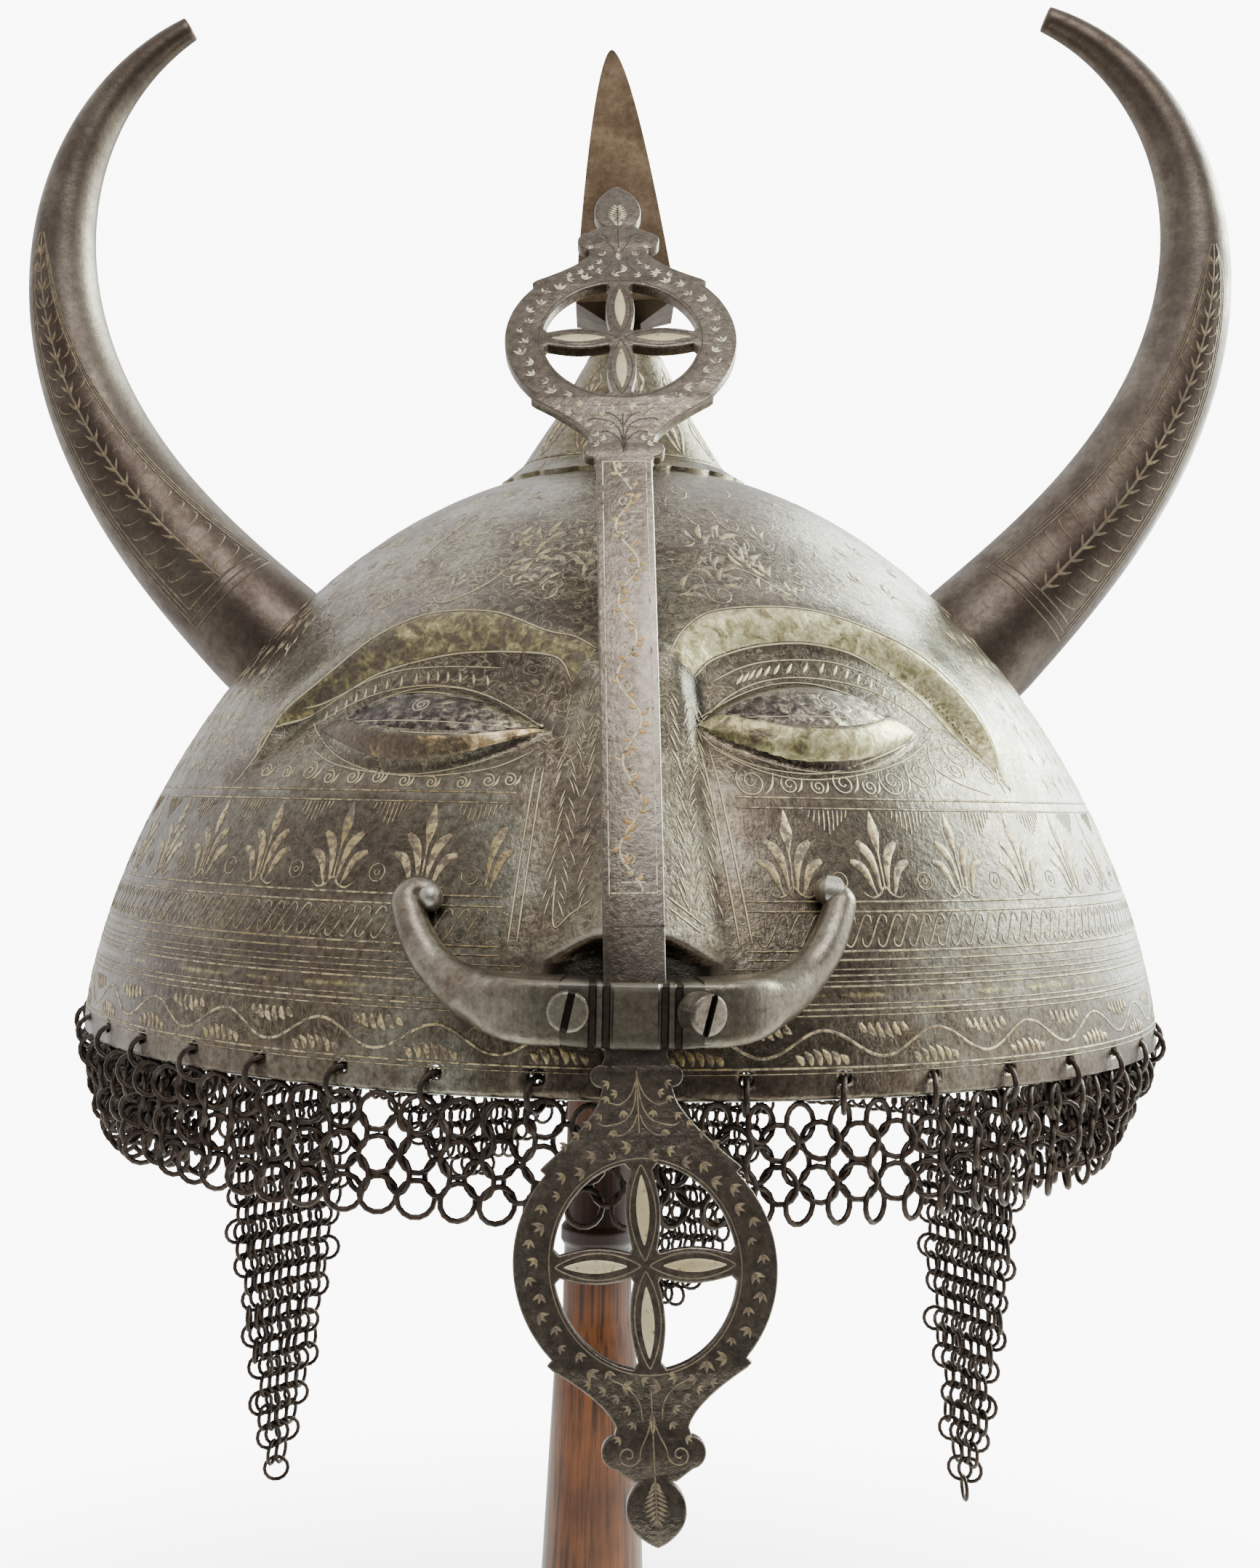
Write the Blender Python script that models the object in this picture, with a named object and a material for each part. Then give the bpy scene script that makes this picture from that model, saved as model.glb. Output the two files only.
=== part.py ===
# Horned parade helmet with an embossed face, on a plain turned wooden stand.
# Units are metres and degrees. The helmet's own frame has its origin on the
# bowl's axis in the plane of the rim; the front of the face looks along -Y.
# Angles round the bowl are measured from the front, positive towards +X.

import math

import bmesh
import bpy
from mathutils import Matrix, Vector

# Placing
rim_height = 0.180          # the rim's plane above the floor
helmet_shift = 0.0038       # the bowl hangs a little to the right of its post
seat_gap = 0.0003           # between pieces that touch on the real object

# Bowl: radius = bowl_radius * (1 - (z / bowl_height) ** bowl_swell) ** bowl_root
bowl_radius = 0.1050
bowl_height = 0.1115
bowl_swell = 1.5536
bowl_root = 0.4991
bowl_wall = 0.0016
crown_rows = 5

# Columns of the bowl's mesh: close together across the face
face_half_angle = 54.0
face_columns = 26
back_columns = 22

# Rows of the bowl's mesh below the crown: height where a stretch ends, its steps
bowl_stretches = [
    {"top": 0.0180, "steps": 3},
    {"top": 0.0205, "steps": 1},
    {"top": 0.0237, "steps": 1},
    {"top": 0.0800, "steps": 15},
]

# Rim holes for the mail
rim_holes = 42
rim_hole_phase = 1.0
rim_hole_height = 0.0035
rim_hole_radius = 0.0011

# Face: nose
nose_top = 0.0700
nose_edge = 0.0237          # the ridge's lower end
nose_wing = 0.0203          # where its sides end on the bowl
nose_rise = 0.0064
nose_width_top = 0.0080     # half width at nose_level
nose_level = 0.0620
nose_widening = 0.15
nose_flat = 0.25            # share of the half width that is ridge
nose_drop = 0.0014          # height over which the underside returns to the bowl

# Face: brows and eyes, one row for each side
sides = [
    {"side": -1, "eye_angle": 24.2, "eye_height": 0.0560, "eye_half_angle": 14.7,
     "eye_half_height": 0.0072, "brow_rise": 0.0250, "lid_rise": 0.0184, "roundness": 2.1},
    {"side": 1, "eye_angle": 20.9, "eye_height": 0.0577, "eye_half_angle": 14.4,
     "eye_half_height": 0.0073, "brow_rise": 0.0266, "lid_rise": 0.0207, "roundness": 2.5},
]
eye_bulge = 0.0050
brow_angle = 22.0           # the brow arch's middle
brow_base = 0.0500
brow_outer = 24.3           # its reach outwards and inwards
brow_inner = 21.5
lid_outer = 22.4
lid_inner = 17.4
brow_ridge = 0.0012
socket_depth = 0.0022
socket_floor = 0.0460       # the sockets fade out between these heights
socket_full = 0.0600

# Horns, one row for each side: the centreline's direction turns with the distance
horn_plane = -0.0090
horns = [
    {"name": "horn_left", "side": -1, "start_x": 0.0711, "start_z": 0.0752, "start_angle": 42.4,
     "length": 0.1430, "turn": 105.5, "turn_power": 1.65, "base_radius": 0.0128, "tip_radius": 0.0023},
    {"name": "horn_right", "side": 1, "start_x": 0.0699, "start_z": 0.0773, "start_angle": 45.3,
     "length": 0.1510, "turn": 114.5, "turn_power": 1.81, "base_radius": 0.0135, "tip_radius": 0.0025},
]
horn_wall = 0.0015
horn_sides = 12
horn_rings = 11
horn_hollow_rings = 7       # of those rings, how many the hollow reaches

# Spike and its scalloped base
spike_x = -0.0016
spike_lean = -3.9
spike_tip = 0.1978
spike_widest = 0.1450
spike_half_width = 0.0099
spike_taper = 0.62
spike_neck_top = 0.1408
spike_neck_half = 0.0030
spike_rows = 8
base_scallops = 16
base_scallop_depth = 0.0012
base_rows = [
    {"radius": 0.0248, "height": 0.1091},
    {"radius": 0.0209, "height": 0.1108},
    {"radius": 0.0142, "height": 0.1213},
    {"radius": 0.0073, "height": 0.1347},
    {"radius": 0.0048, "height": 0.1394},
]
base_wall = 0.0014
base_foot = 0.0010          # the foot's thickness

# Nasal: a bar bent to an arc, flat finials at both ends; s runs up along the bar
bar_width = 0.0091
bar_thickness = 0.0022
bar_front_x = 0.0005
bar_front_y = -0.1104       # middle of the bar where it crosses the bracket
bar_front_z = 0.0140
bar_lean = 10.0             # there it leans back by this much
bar_bend_radius = 0.2260
bar_bend_low = -0.0080      # the arc's ends
bar_bend_high = 0.0955
bar_bends = 12
nasal_tilt = -1.85          # it sits a little askew in its bracket
lower_skew = 0.030
lower_ring_s = -0.0355
upper_ring_s = 0.1213
nasal_travel = 22.0

# One finial, measured from its ring's centre; t runs away from the bar
finials = [
    {"s": lower_ring_s, "way": -1, "ring": 0.0187, "hole_x": 0.0130, "hole_t": 0.0143,
     "tip": 0.0380},
    {"s": upper_ring_s, "way": 1, "ring": 0.0199, "hole_x": 0.0134, "hole_t": 0.0139,
     "tip": 0.0405},
]
ear_t = -0.0265
ear_radius = 0.0017
ear_reach = 0.0050
waist_t = -0.0238
waist_half = 0.0053
spur_angle = 43.0
spur_reach = 0.0007
neck_t = 0.0224
neck_half = 0.0050
scroll_t = 0.0253
scroll_radius = 0.0023
scroll_reach = 0.0050
leaf_start_t = 0.0292
leaf_wide_t = 0.0330
leaf_half = 0.0042
leaf_waist = 0.0030
cross_half = 0.0023

# Moustache bracket
plate_left = -0.0165
plate_right = 0.0145
plate_low = 0.0091
plate_high = 0.0184
plate_radius = 0.1137
panel_x = 0.0005
panel_half = 0.0032
panel_rise = 0.0005
groove_offsets = [0.0042, 0.0062]
groove_half = 0.0005
groove_depth = 0.0006
slot_clearance = 0.0004
arms = [
    {"side": -1, "start": 0.0120, "height": 0.0134, "bend": 0.0315, "bend_height": 0.0146,
     "end": 0.0362, "end_height": 0.0288, "curl": 0.0023},
    {"side": 1, "start": 0.0120, "height": 0.0138, "bend": 0.0290, "bend_height": 0.0150,
     "end": 0.0345, "end_height": 0.0300, "curl": 0.0021},
]
arm_radius_start = 0.0045
arm_radius_end = 0.0018
arm_rings = 9
curl_rings = 5
curl_turn = 200.0
arm_sides = 10

# Screws, one row each: the right one stands out and leans
screws = [
    {"name": "screw_left", "x": -0.0092, "stand_out": 0.0003, "lean_x": 0.0, "lean_z": 0.0, "slot": -12.0},
    {"name": "screw_right", "x": 0.0103, "stand_out": 0.0012, "lean_x": 2.0, "lean_z": 4.0, "slot": -8.0},
]
screw_z = 0.0144
screw_head_radius = 0.0031
screw_head_height = 0.0016
screw_shank_radius = 0.0012
screw_hole_radius = 0.0021
screw_slot_width = 0.0009
screw_slot_depth = 0.0008
screw_sides = 16

# Mail: a curtain under the rim, with four dagged points
mail_top = -0.0004
mail_band_front = 0.0170
mail_band_back = 0.0300
mail_band_blend = [95.0, 120.0]
mail_radius = 0.1045
mail_wall = 0.0030
mail_tuck_left = 0.35       # how far it leans in at the sides, per metre of drop
mail_tuck_right = 0.65
mail_tuck_angle = 80.0
mail_tuck_spread = 28.0
mail_columns = 90
mail_rows = 2
mail_points = [
    {"angle": -128.0, "half_angle": 13.5, "length": 0.1205, "roundness": 2.0},
    {"angle": 125.5, "half_angle": 13.5, "length": 0.1180, "roundness": 2.0},
    {"angle": 172.0, "half_angle": 16.0, "length": 0.0865, "roundness": 1.6},
    {"angle": -160.0, "half_angle": 14.0, "length": 0.0520, "roundness": 1.6},
]

# Stand
foot_radius = 0.0600
foot_thickness = 0.0160
foot_bevel = 0.0040
socket_radius = 0.0128
socket_sink = 0.0080
stand_sides = 32
post_rows = [
    {"height": 0.0083, "radius": 0.0125},
    {"height": 0.0680, "radius": 0.0103},
    {"height": 0.1090, "radius": 0.0085},
    {"height": 0.1200, "radius": 0.0070},
    {"height": 0.1340, "radius": 0.0069},
    {"height": 0.1352, "radius": 0.0076},
    {"height": 0.1376, "radius": 0.0076},
    {"height": 0.1388, "radius": 0.0068},
    {"height": 0.2884, "radius": 0.0064},
]


def clear_scene():
    for obj in list(bpy.data.objects):
        bpy.data.objects.remove(obj, do_unlink=True)


def material(name, colour, roughness, metallic):
    mat = bpy.data.materials.new(name)
    mat.use_nodes = True
    shader = mat.node_tree.nodes["Principled BSDF"]
    shader.inputs["Base Color"].default_value = (*colour, 1.0)
    shader.inputs["Roughness"].default_value = roughness
    shader.inputs["Metallic"].default_value = metallic
    return mat


def object_from(bm, name, mat=None, parent=None):
    bmesh.ops.recalc_face_normals(bm, faces=bm.faces)
    mesh = bpy.data.meshes.new(name)
    bm.to_mesh(mesh)
    bm.free()
    obj = bpy.data.objects.new(name, mesh)
    bpy.context.collection.objects.link(obj)
    obj.parent = parent
    if mat:
        mesh.materials.append(mat)
        mesh.shade_smooth()
        mesh.set_sharp_from_angle(angle=math.radians(32))
    else:
        obj.hide_render = True
        obj.display_type = "WIRE"
    return obj


def combine(obj, other, operation):
    modifier = obj.modifiers.new(operation.lower(), "BOOLEAN")
    modifier.operation = operation
    modifier.object = other
    modifier.solver = "EXACT"


def loft(loops, start=None, end=None, closed=False):
    # Joins loops of equally many points by quads. A start or end point closes
    # the skin by a fan; a closed loft joins the last loop to the first.
    bm = bmesh.new()
    rings = [[bm.verts.new(point) for point in loop] for loop in loops]
    pairs = list(zip(rings, rings[1:]))
    if closed:
        pairs.append((rings[-1], rings[0]))
    count = len(rings[0])
    for low, high in pairs:
        for i in range(count):
            j = (i + 1) % count
            bm.faces.new((low[i], low[j], high[j], high[i]))
    for tip, ring in ((start, rings[0]), (end, rings[-1])):
        if tip is None:
            continue
        vertex = bm.verts.new(tip)
        for i in range(count):
            bm.faces.new((vertex, ring[i], ring[(i + 1) % count]))
    return bm


def circle(centre, radius, count, across, along):
    turns = [2 * math.pi * k / count for k in range(count)]
    return [centre + across * (radius * math.cos(a)) + along * (radius * math.sin(a)) for a in turns]


def smooth_step(low, high, value):
    t = min(max((value - low) / (high - low), 0.0), 1.0)
    return t * t * (3 - 2 * t)


# Bowl

def bowl_radius_at(z):
    share = min(max(z / bowl_height, 0.0), 1.0)
    return bowl_radius * (1 - share ** bowl_swell) ** bowl_root


def bowl_height_at(radius):
    return bowl_height * (1 - (radius / bowl_radius) ** (1 / bowl_root)) ** (1 / bowl_swell)


def bowl_tilt_at(z):
    # Angle by which the surface's normal rises above the horizontal
    step = 0.0002
    low = max(z - step, 0.0)
    high = min(z + step, bowl_height - step)
    return math.atan2(bowl_radius_at(low) - bowl_radius_at(high), high - low)


def round_bowl(angle, radius, z):
    turn = math.radians(angle)
    return Vector((radius * math.sin(turn), -radius * math.cos(turn), z))


def on_bowl(angle, z, lift):
    # A point lifted off the bowl's plain surface along its normal
    tilt = bowl_tilt_at(z)
    return round_bowl(angle, bowl_radius_at(z) + lift * math.cos(tilt), z + lift * math.sin(tilt))


def nose_relief(angle, z):
    x = abs(math.radians(angle)) * bowl_radius_at(z)
    half = nose_width_top + (nose_level - z) * nose_widening
    if x >= half or z >= nose_top:
        return 0.0
    height = nose_rise * ((nose_top - max(z, nose_edge)) / (nose_top - nose_edge)) ** 0.8
    height *= min((1 - x / half) / (1 - nose_flat), 1.0)
    edge = nose_edge + (nose_wing - nose_edge) * smooth_step(0.3, 1.0, x / half)
    return height * smooth_step(edge - nose_drop, edge, z)


def arch(angle, z, row, outer, inner, rise):
    # 1 on a rounded arch over the eye, less inside it and more outside
    across = angle * row["side"] - brow_angle
    a = abs(across / (outer if across > 0 else inner))
    b = abs(z - brow_base) / rise
    return (a ** row["roundness"] + b ** row["roundness"]) ** (1 / row["roundness"])


def brow_relief(angle, z, row):
    upper = arch(angle, z, row, brow_outer, brow_inner, row["brow_rise"])
    lower = arch(angle, z, row, lid_outer, lid_inner, row["lid_rise"])
    depth = socket_depth * smooth_step(socket_floor, socket_full, z)
    ridge = brow_ridge * smooth_step(socket_floor, socket_full, z)
    if upper >= 1:
        return ridge * math.exp(-((upper - 1) / 0.2) ** 2)
    if lower >= 1:
        share = (1 - upper) / (lower - upper)
        return ridge - (ridge + depth) * smooth_step(0.0, 1.0, share)
    return -depth


def eye_relief(angle, z, row):
    a = (angle * row["side"] - row["eye_angle"]) / row["eye_half_angle"]
    if abs(a) >= 1:
        return 0.0
    b = (z - row["eye_height"]) / (row["eye_half_height"] * (1 - a * a))
    if abs(b) >= 1:
        return 0.0
    return eye_bulge * (1 - a * a) ** 0.8 * (1 - b * b) ** 0.6


def relief(angle, z):
    row = sides[0] if angle < 0 else sides[1]
    nose = nose_relief(angle, z)
    face = brow_relief(angle, z, row) + eye_relief(angle, z, row)
    return nose if nose > 0.0004 else face


def bowl_columns():
    span = 2 * face_half_angle
    face = [-face_half_angle + span * k / face_columns for k in range(face_columns)]
    rest = 360 - span
    return face + [face_half_angle + rest * k / back_columns for k in range(back_columns)]


def bowl_rows():
    heights = [0.0]
    for stretch in bowl_stretches:
        low = heights[-1]
        steps = stretch["steps"]
        heights += [low + (stretch["top"] - low) * (k + 1) / steps for k in range(steps)]
    shoulder = bowl_radius_at(heights[-1])
    radii = [shoulder * (1 - (k + 1) / (crown_rows + 1)) for k in range(crown_rows)]
    return heights + [bowl_height_at(radius) for radius in radii]


def bowl(mat, parent):
    angles = bowl_columns()
    heights = bowl_rows()

    def loop(z, depth):
        return [on_bowl(a if a <= 180 else a - 360, z, relief(a if a <= 180 else a - 360, z) - depth)
                for a in angles]

    inner = [loop(z, bowl_wall) for z in reversed(heights)]
    outer = [loop(z, 0.0) for z in heights]
    for point in inner[-1]:
        point.z = 0.0
    top = Vector((0, 0, bowl_height))
    bm = loft(inner + outer, top - Vector((0, 0, bowl_wall)), top)
    obj = object_from(bm, "bowl", mat, parent)
    combine(obj, rim_hole_cutters(parent), "DIFFERENCE")


def rim_hole_cutters(parent):
    cutters = bmesh.new()
    for k in range(rim_holes):
        angle = rim_hole_phase + 360 * k / rim_holes
        place = Matrix.Translation(round_bowl(angle, bowl_radius, rim_hole_height))
        turn = Matrix.Rotation(math.radians(angle), 4, "Z") @ Matrix.Rotation(math.radians(90), 4, "X")
        bmesh.ops.create_cone(cutters, cap_ends=True, segments=6, radius1=rim_hole_radius,
                              radius2=rim_hole_radius, depth=4 * bowl_wall, matrix=place @ turn)
    return object_from(cutters, "rim_hole_cutters", None, parent)


# Horns

def horn_path(row, count):
    # Points and directions in the horn's plane: the direction turns by a power law
    steps = 20 * count
    step = row["length"] / steps
    x, z = row["start_x"], row["start_z"]
    path = []
    for k in range(steps + 1):
        share = k / steps
        angle = math.radians(row["start_angle"] + row["turn"] * share ** row["turn_power"])
        heading = Vector((row["side"] * math.cos(angle), 0, math.sin(angle)))
        if k % 20 == 0:
            point = Vector((row["side"] * x, horn_plane, z))
            path.append((point, heading, share))
        x += math.cos(angle) * step
        z += math.sin(angle) * step
    return path


def slide_to_bowl(point, heading, lift):
    # Moves a point back along the heading until it lies on the bowl, lifted by a gap
    low, high = -0.030, 0.030
    for _ in range(40):
        middle = (low + high) / 2
        probe = point + heading * middle
        inside = math.hypot(probe.x, probe.y) < bowl_radius_at(probe.z) + lift
        low, high = (middle, high) if inside else (low, middle)
    return point + heading * high


def horn(row, mat, parent):
    path = horn_path(row, horn_rings)
    depth_axis = Vector((0, 1, 0))
    outer = []
    inner = []
    for point, heading, share in path:
        radius = row["base_radius"] + (row["tip_radius"] - row["base_radius"]) * share
        across = depth_axis.cross(heading)
        outer.append(circle(point, radius, horn_sides, across, depth_axis))
        inner.append(circle(point, radius - horn_wall, horn_sides, across, depth_axis))
    heading = path[0][1]
    outer[0] = [slide_to_bowl(p, heading, seat_gap) for p in outer[0]]
    inner[0] = [slide_to_bowl(p, heading, seat_gap) for p in inner[0]]
    hollow = list(reversed(inner[:horn_hollow_rings]))
    bm = loft(hollow + outer, path[horn_hollow_rings][0], path[-1][0])
    object_from(bm, row["name"], mat, parent)


# Spike

def spike_base(mat, parent):
    count = 2 * base_scallops
    centre = Vector((spike_x, 0, 0))

    def loop(radius, z, scallop):
        points = []
        for k in range(count):
            notch = base_scallop_depth * scallop if k % 2 == 0 else 0.0
            turn = 2 * math.pi * k / count
            reach = radius - notch
            points.append(centre + Vector((reach * math.cos(turn), reach * math.sin(turn), z)))
        return points

    foot = base_rows[0]
    sole = [point.copy() for point in loop(foot["radius"], 0, 1)]
    for point in sole:
        point.z = bowl_height_at(math.hypot(point.x, point.y)) + seat_gap
    under = [point.copy() for point in loop(foot["radius"] - 3 * base_wall, 0, 0)]
    for point in under:
        point.z = bowl_height_at(math.hypot(point.x, point.y)) + seat_gap
    brim = [point + Vector((0, 0, base_foot)) for point in sole]
    inner = [loop(row["radius"] - base_wall, row["height"] - 0.0004, 0) for row in base_rows[2:4]]
    outer = [loop(row["radius"], row["height"], 0) for row in base_rows[1:]]
    top = base_rows[-1]["height"]
    bm = loft(list(reversed(inner)) + [under, sole, brim] + outer,
              centre + Vector((0, 0, base_rows[3]["height"] + 0.0015)), centre + Vector((0, 0, top)))
    object_from(bm, "spike_base", mat, parent)


def spike(mat, parent):
    # Square sections that grow from the tip by a power law, a steep shoulder, a neck
    length = spike_tip - spike_widest
    sections = []
    for k in range(spike_rows):
        share = ((k + 1) / spike_rows) ** 1.6
        sections.append((spike_tip - length * share, spike_half_width * share ** spike_taper))
    sections.append((spike_widest - 0.0012, spike_half_width))
    sections.append((spike_neck_top, spike_neck_half))
    sections.append((base_rows[-1]["height"] + seat_gap, spike_neck_half))
    foot_z = sections[-1][0]
    lean = Matrix.Rotation(math.radians(spike_lean), 4, "Y")
    place = Matrix.Translation(Vector((spike_x, 0, foot_z))) @ lean
    loops = []
    for z, half in sections:
        corners = ((half, half), (-half, half), (-half, -half), (half, -half))
        loops.append([place @ Vector((x, y, z - foot_z)) for x, y in corners])
    for point in loops[-1]:
        point.z = foot_z
    bm = loft(loops, place @ Vector((0, 0, spike_tip - foot_z)), Vector((spike_x, 0, foot_z)))
    object_from(bm, "spike", mat, parent)


# Nasal

def arc_points(x, t, radius, first, last, count):
    angles = [math.radians(first + (last - first) * k / count) for k in range(count + 1)]
    return [(x + radius * math.cos(a), t + radius * math.sin(a)) for a in angles]


def finial_edge(row):
    # The edge at +X from the bar to the leaf's tip: ear, flare, ring, flare, scroll, leaf
    edge = arc_points(ear_reach, ear_t, ear_radius, -90, 90, 5)
    spur_x = row["ring"] * math.cos(math.radians(spur_angle))
    spur_t = row["ring"] * math.sin(math.radians(spur_angle))
    low_t = -spur_t - 2 * spur_reach
    for k in range(5):
        share = k / 5
        edge.append((waist_half + (spur_x - waist_half) * share ** 1.4, waist_t + (low_t - waist_t) * share))
    edge.append((spur_x, low_t))
    edge.append((spur_x + spur_reach, -spur_t - spur_reach))
    edge += arc_points(0, 0, row["ring"], -spur_angle, spur_angle, 9)
    edge.append((spur_x + spur_reach, spur_t + spur_reach))
    for k in range(5):
        share = k / 5
        edge.append((neck_half + (spur_x - neck_half) * (1 - share) ** 1.6,
                     spur_t + 2 * spur_reach + (neck_t - spur_t - 2 * spur_reach) * share))
    edge += arc_points(scroll_reach, scroll_t, scroll_radius, -80, 80, 6)
    edge.append((leaf_waist, leaf_start_t))
    for k in range(1, 6):
        angle = math.radians(-60 + 60 * k / 5)
        edge.append((leaf_half * math.cos(angle), leaf_wide_t + 0.0044 * math.sin(angle)))
    for k in range(1, 5):
        share = k / 5
        edge.append((leaf_half * (1 - share ** 1.7), leaf_wide_t + (row["tip"] - leaf_wide_t) * share))
    return edge


def cross_holes(row):
    # Four openings between the ring and the arms of its cross
    a, b = row["hole_x"], row["hole_t"]
    first = math.degrees(math.asin(cross_half / b))
    last = math.degrees(math.acos(cross_half / a))
    holes = []
    for sx, st in ((1, 1), (-1, 1), (-1, -1), (1, -1)):
        hole = [(sx * cross_half, st * cross_half)]
        for k in range(8):
            angle = math.radians(first + (last - first) * k / 7)
            hole.append((sx * a * math.cos(angle), st * b * math.sin(angle)))
        holes.append(hole)
    return holes


def bend(point, offset):
    # Lays the flat plate along the arc, straight beyond its ends
    x, s = point
    if s < bar_bend_low:
        x += lower_skew * (bar_bend_low - s)
    on_arc = min(max(s, bar_bend_low), bar_bend_high)
    angle = math.radians(bar_lean) + on_arc / bar_bend_radius
    beyond = s - on_arc
    radius = bar_bend_radius - offset
    y = -radius * math.cos(angle) + beyond * math.sin(angle)
    z = radius * math.sin(angle) + beyond * math.cos(angle)
    return Vector((x, y, z))


def pivot_place():
    lean = math.radians(bar_lean)
    centre_y = bar_front_y + bar_bend_radius * math.cos(lean)
    centre_z = bar_front_z - bar_bend_radius * math.sin(lean)
    tilt = Matrix.Rotation(math.radians(nasal_tilt), 4, "Y")
    hold = Matrix.Translation(Vector((bar_front_x, bar_front_y, bar_front_z)))
    offset = Matrix.Translation(Vector((0, centre_y - bar_front_y, centre_z - bar_front_z)))
    return hold @ tilt @ offset


def nasal(mat, helmet):
    pivot = bpy.data.objects.new("nasal_pivot", None)
    bpy.context.collection.objects.link(pivot)
    pivot.parent = helmet
    pivot.matrix_local = pivot_place()
    lower, upper = finials
    rises = [(x, upper["s"] + t) for x, t in finial_edge(upper)]
    falls = [(x, lower["s"] - t) for x, t in finial_edge(lower)]
    half = bar_width / 2
    right = list(reversed(falls)) + [(half, falls[0][1] + 0.001), (half, rises[0][1] - 0.001)] + rises
    outline = right + [(0, upper["s"] + upper["tip"])]
    outline += [(-x, s) for x, s in reversed(right)] + [(0, lower["s"] - lower["tip"])]
    loops = [outline]
    for row in finials:
        loops += [[(x, row["s"] + row["way"] * t) for x, t in hole] for hole in cross_holes(row)]
    bm = bmesh.new()
    for loop in loops:
        verts = [bm.verts.new((x, s, 0)) for x, s in loop]
        for i, vertex in enumerate(verts):
            bm.edges.new((vertex, verts[(i + 1) % len(verts)]))
    bmesh.ops.triangle_fill(bm, edges=bm.edges, use_beauty=True)
    for k in range(bar_bends + 1):
        s = bar_bend_low + (bar_bend_high - bar_bend_low) * k / bar_bends
        geometry = list(bm.verts) + list(bm.edges) + list(bm.faces)
        bmesh.ops.bisect_plane(bm, geom=geometry, dist=1e-7, plane_co=(0, s, 0), plane_no=(0, 1, 0))
    bmesh.ops.recalc_face_normals(bm, faces=bm.faces)
    front = bmesh.ops.extrude_face_region(bm, geom=list(bm.faces), use_keep_orig=True)
    raised = [part for part in front["geom"] if isinstance(part, bmesh.types.BMVert)]
    bmesh.ops.translate(bm, verts=raised, vec=(0, 0, bar_thickness))
    for vertex in bm.verts:
        offset = vertex.co.z - bar_thickness / 2
        vertex.co = bend((vertex.co.x, vertex.co.y), offset)
    object_from(bm, "nasal", mat, pivot)


# Bracket

def arm_path(row):
    # A curve along the bowl, then a small curl: arc length round the bowl and height
    start = Vector((row["start"], row["height"]))
    bend_point = Vector((row["bend"], row["bend_height"]))
    end = Vector((row["end"], row["end_height"]))
    path = []
    for k in range(arm_rings):
        t = k / (arm_rings - 1)
        path.append(start * (1 - t) ** 2 + bend_point * 2 * t * (1 - t) + end * t * t)
    centre = end - Vector((row["curl"], 0))
    for k in range(1, curl_rings + 1):
        angle = math.radians(curl_turn * k / curl_rings)
        path.append(centre + Vector((math.cos(angle), math.sin(angle))) * row["curl"])
    return path


def arm(row, parent):
    path = arm_path(row)
    total = len(path) - 1
    centres = []
    radii = []
    for k, (along, z) in enumerate(path):
        radius = arm_radius_start + (arm_radius_end - arm_radius_start) * (k / total) ** 0.9
        angle = row["side"] * math.degrees(along / bowl_radius)
        centres.append(on_bowl(angle, z, radius + seat_gap))
        radii.append(radius)
    loops = []
    for k, centre in enumerate(centres):
        heading = (centres[min(k + 1, total)] - centres[max(k - 1, 0)]).normalized()
        outward = Vector((centre.x, centre.y, 0)).normalized()
        across = heading.cross(outward).normalized()
        loops.append(circle(centre, radii[k], arm_sides, across, across.cross(heading)))
    bm = loft(loops, centres[0], centres[-1])
    return object_from(bm, "arm_stock", None, parent)


def box(name, low, high, parent, place=None):
    bm = bmesh.new()
    bmesh.ops.create_cube(bm, size=1.0)
    size = Vector(high) - Vector(low)
    middle = (Vector(high) + Vector(low)) / 2
    bmesh.ops.scale(bm, vec=size, verts=bm.verts)
    bmesh.ops.translate(bm, vec=middle, verts=bm.verts)
    if place:
        bmesh.ops.transform(bm, matrix=place, verts=bm.verts)
    return object_from(bm, name, None, parent)


def rod(name, point, radius, depth, parent):
    bm = bmesh.new()
    turn = Matrix.Rotation(math.radians(90), 4, "X")
    bmesh.ops.create_cone(bm, cap_ends=True, segments=screw_sides, radius1=radius, radius2=radius,
                          depth=depth, matrix=Matrix.Translation(point) @ turn)
    return object_from(bm, name, None, parent)


def bowl_stock(parent):
    # The bowl's outside with a gap, cut away from what sits on it
    heights = [-0.010 + 0.0035 * k for k in range(15)]
    loops = [[round_bowl(3 * k, bowl_radius_at(z) + seat_gap, z) for k in range(120)] for z in heights]
    bm = loft(loops, Vector((0, 0, heights[0])), Vector((0, 0, heights[-1])))
    return object_from(bm, "bowl_stock", None, parent)


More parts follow.
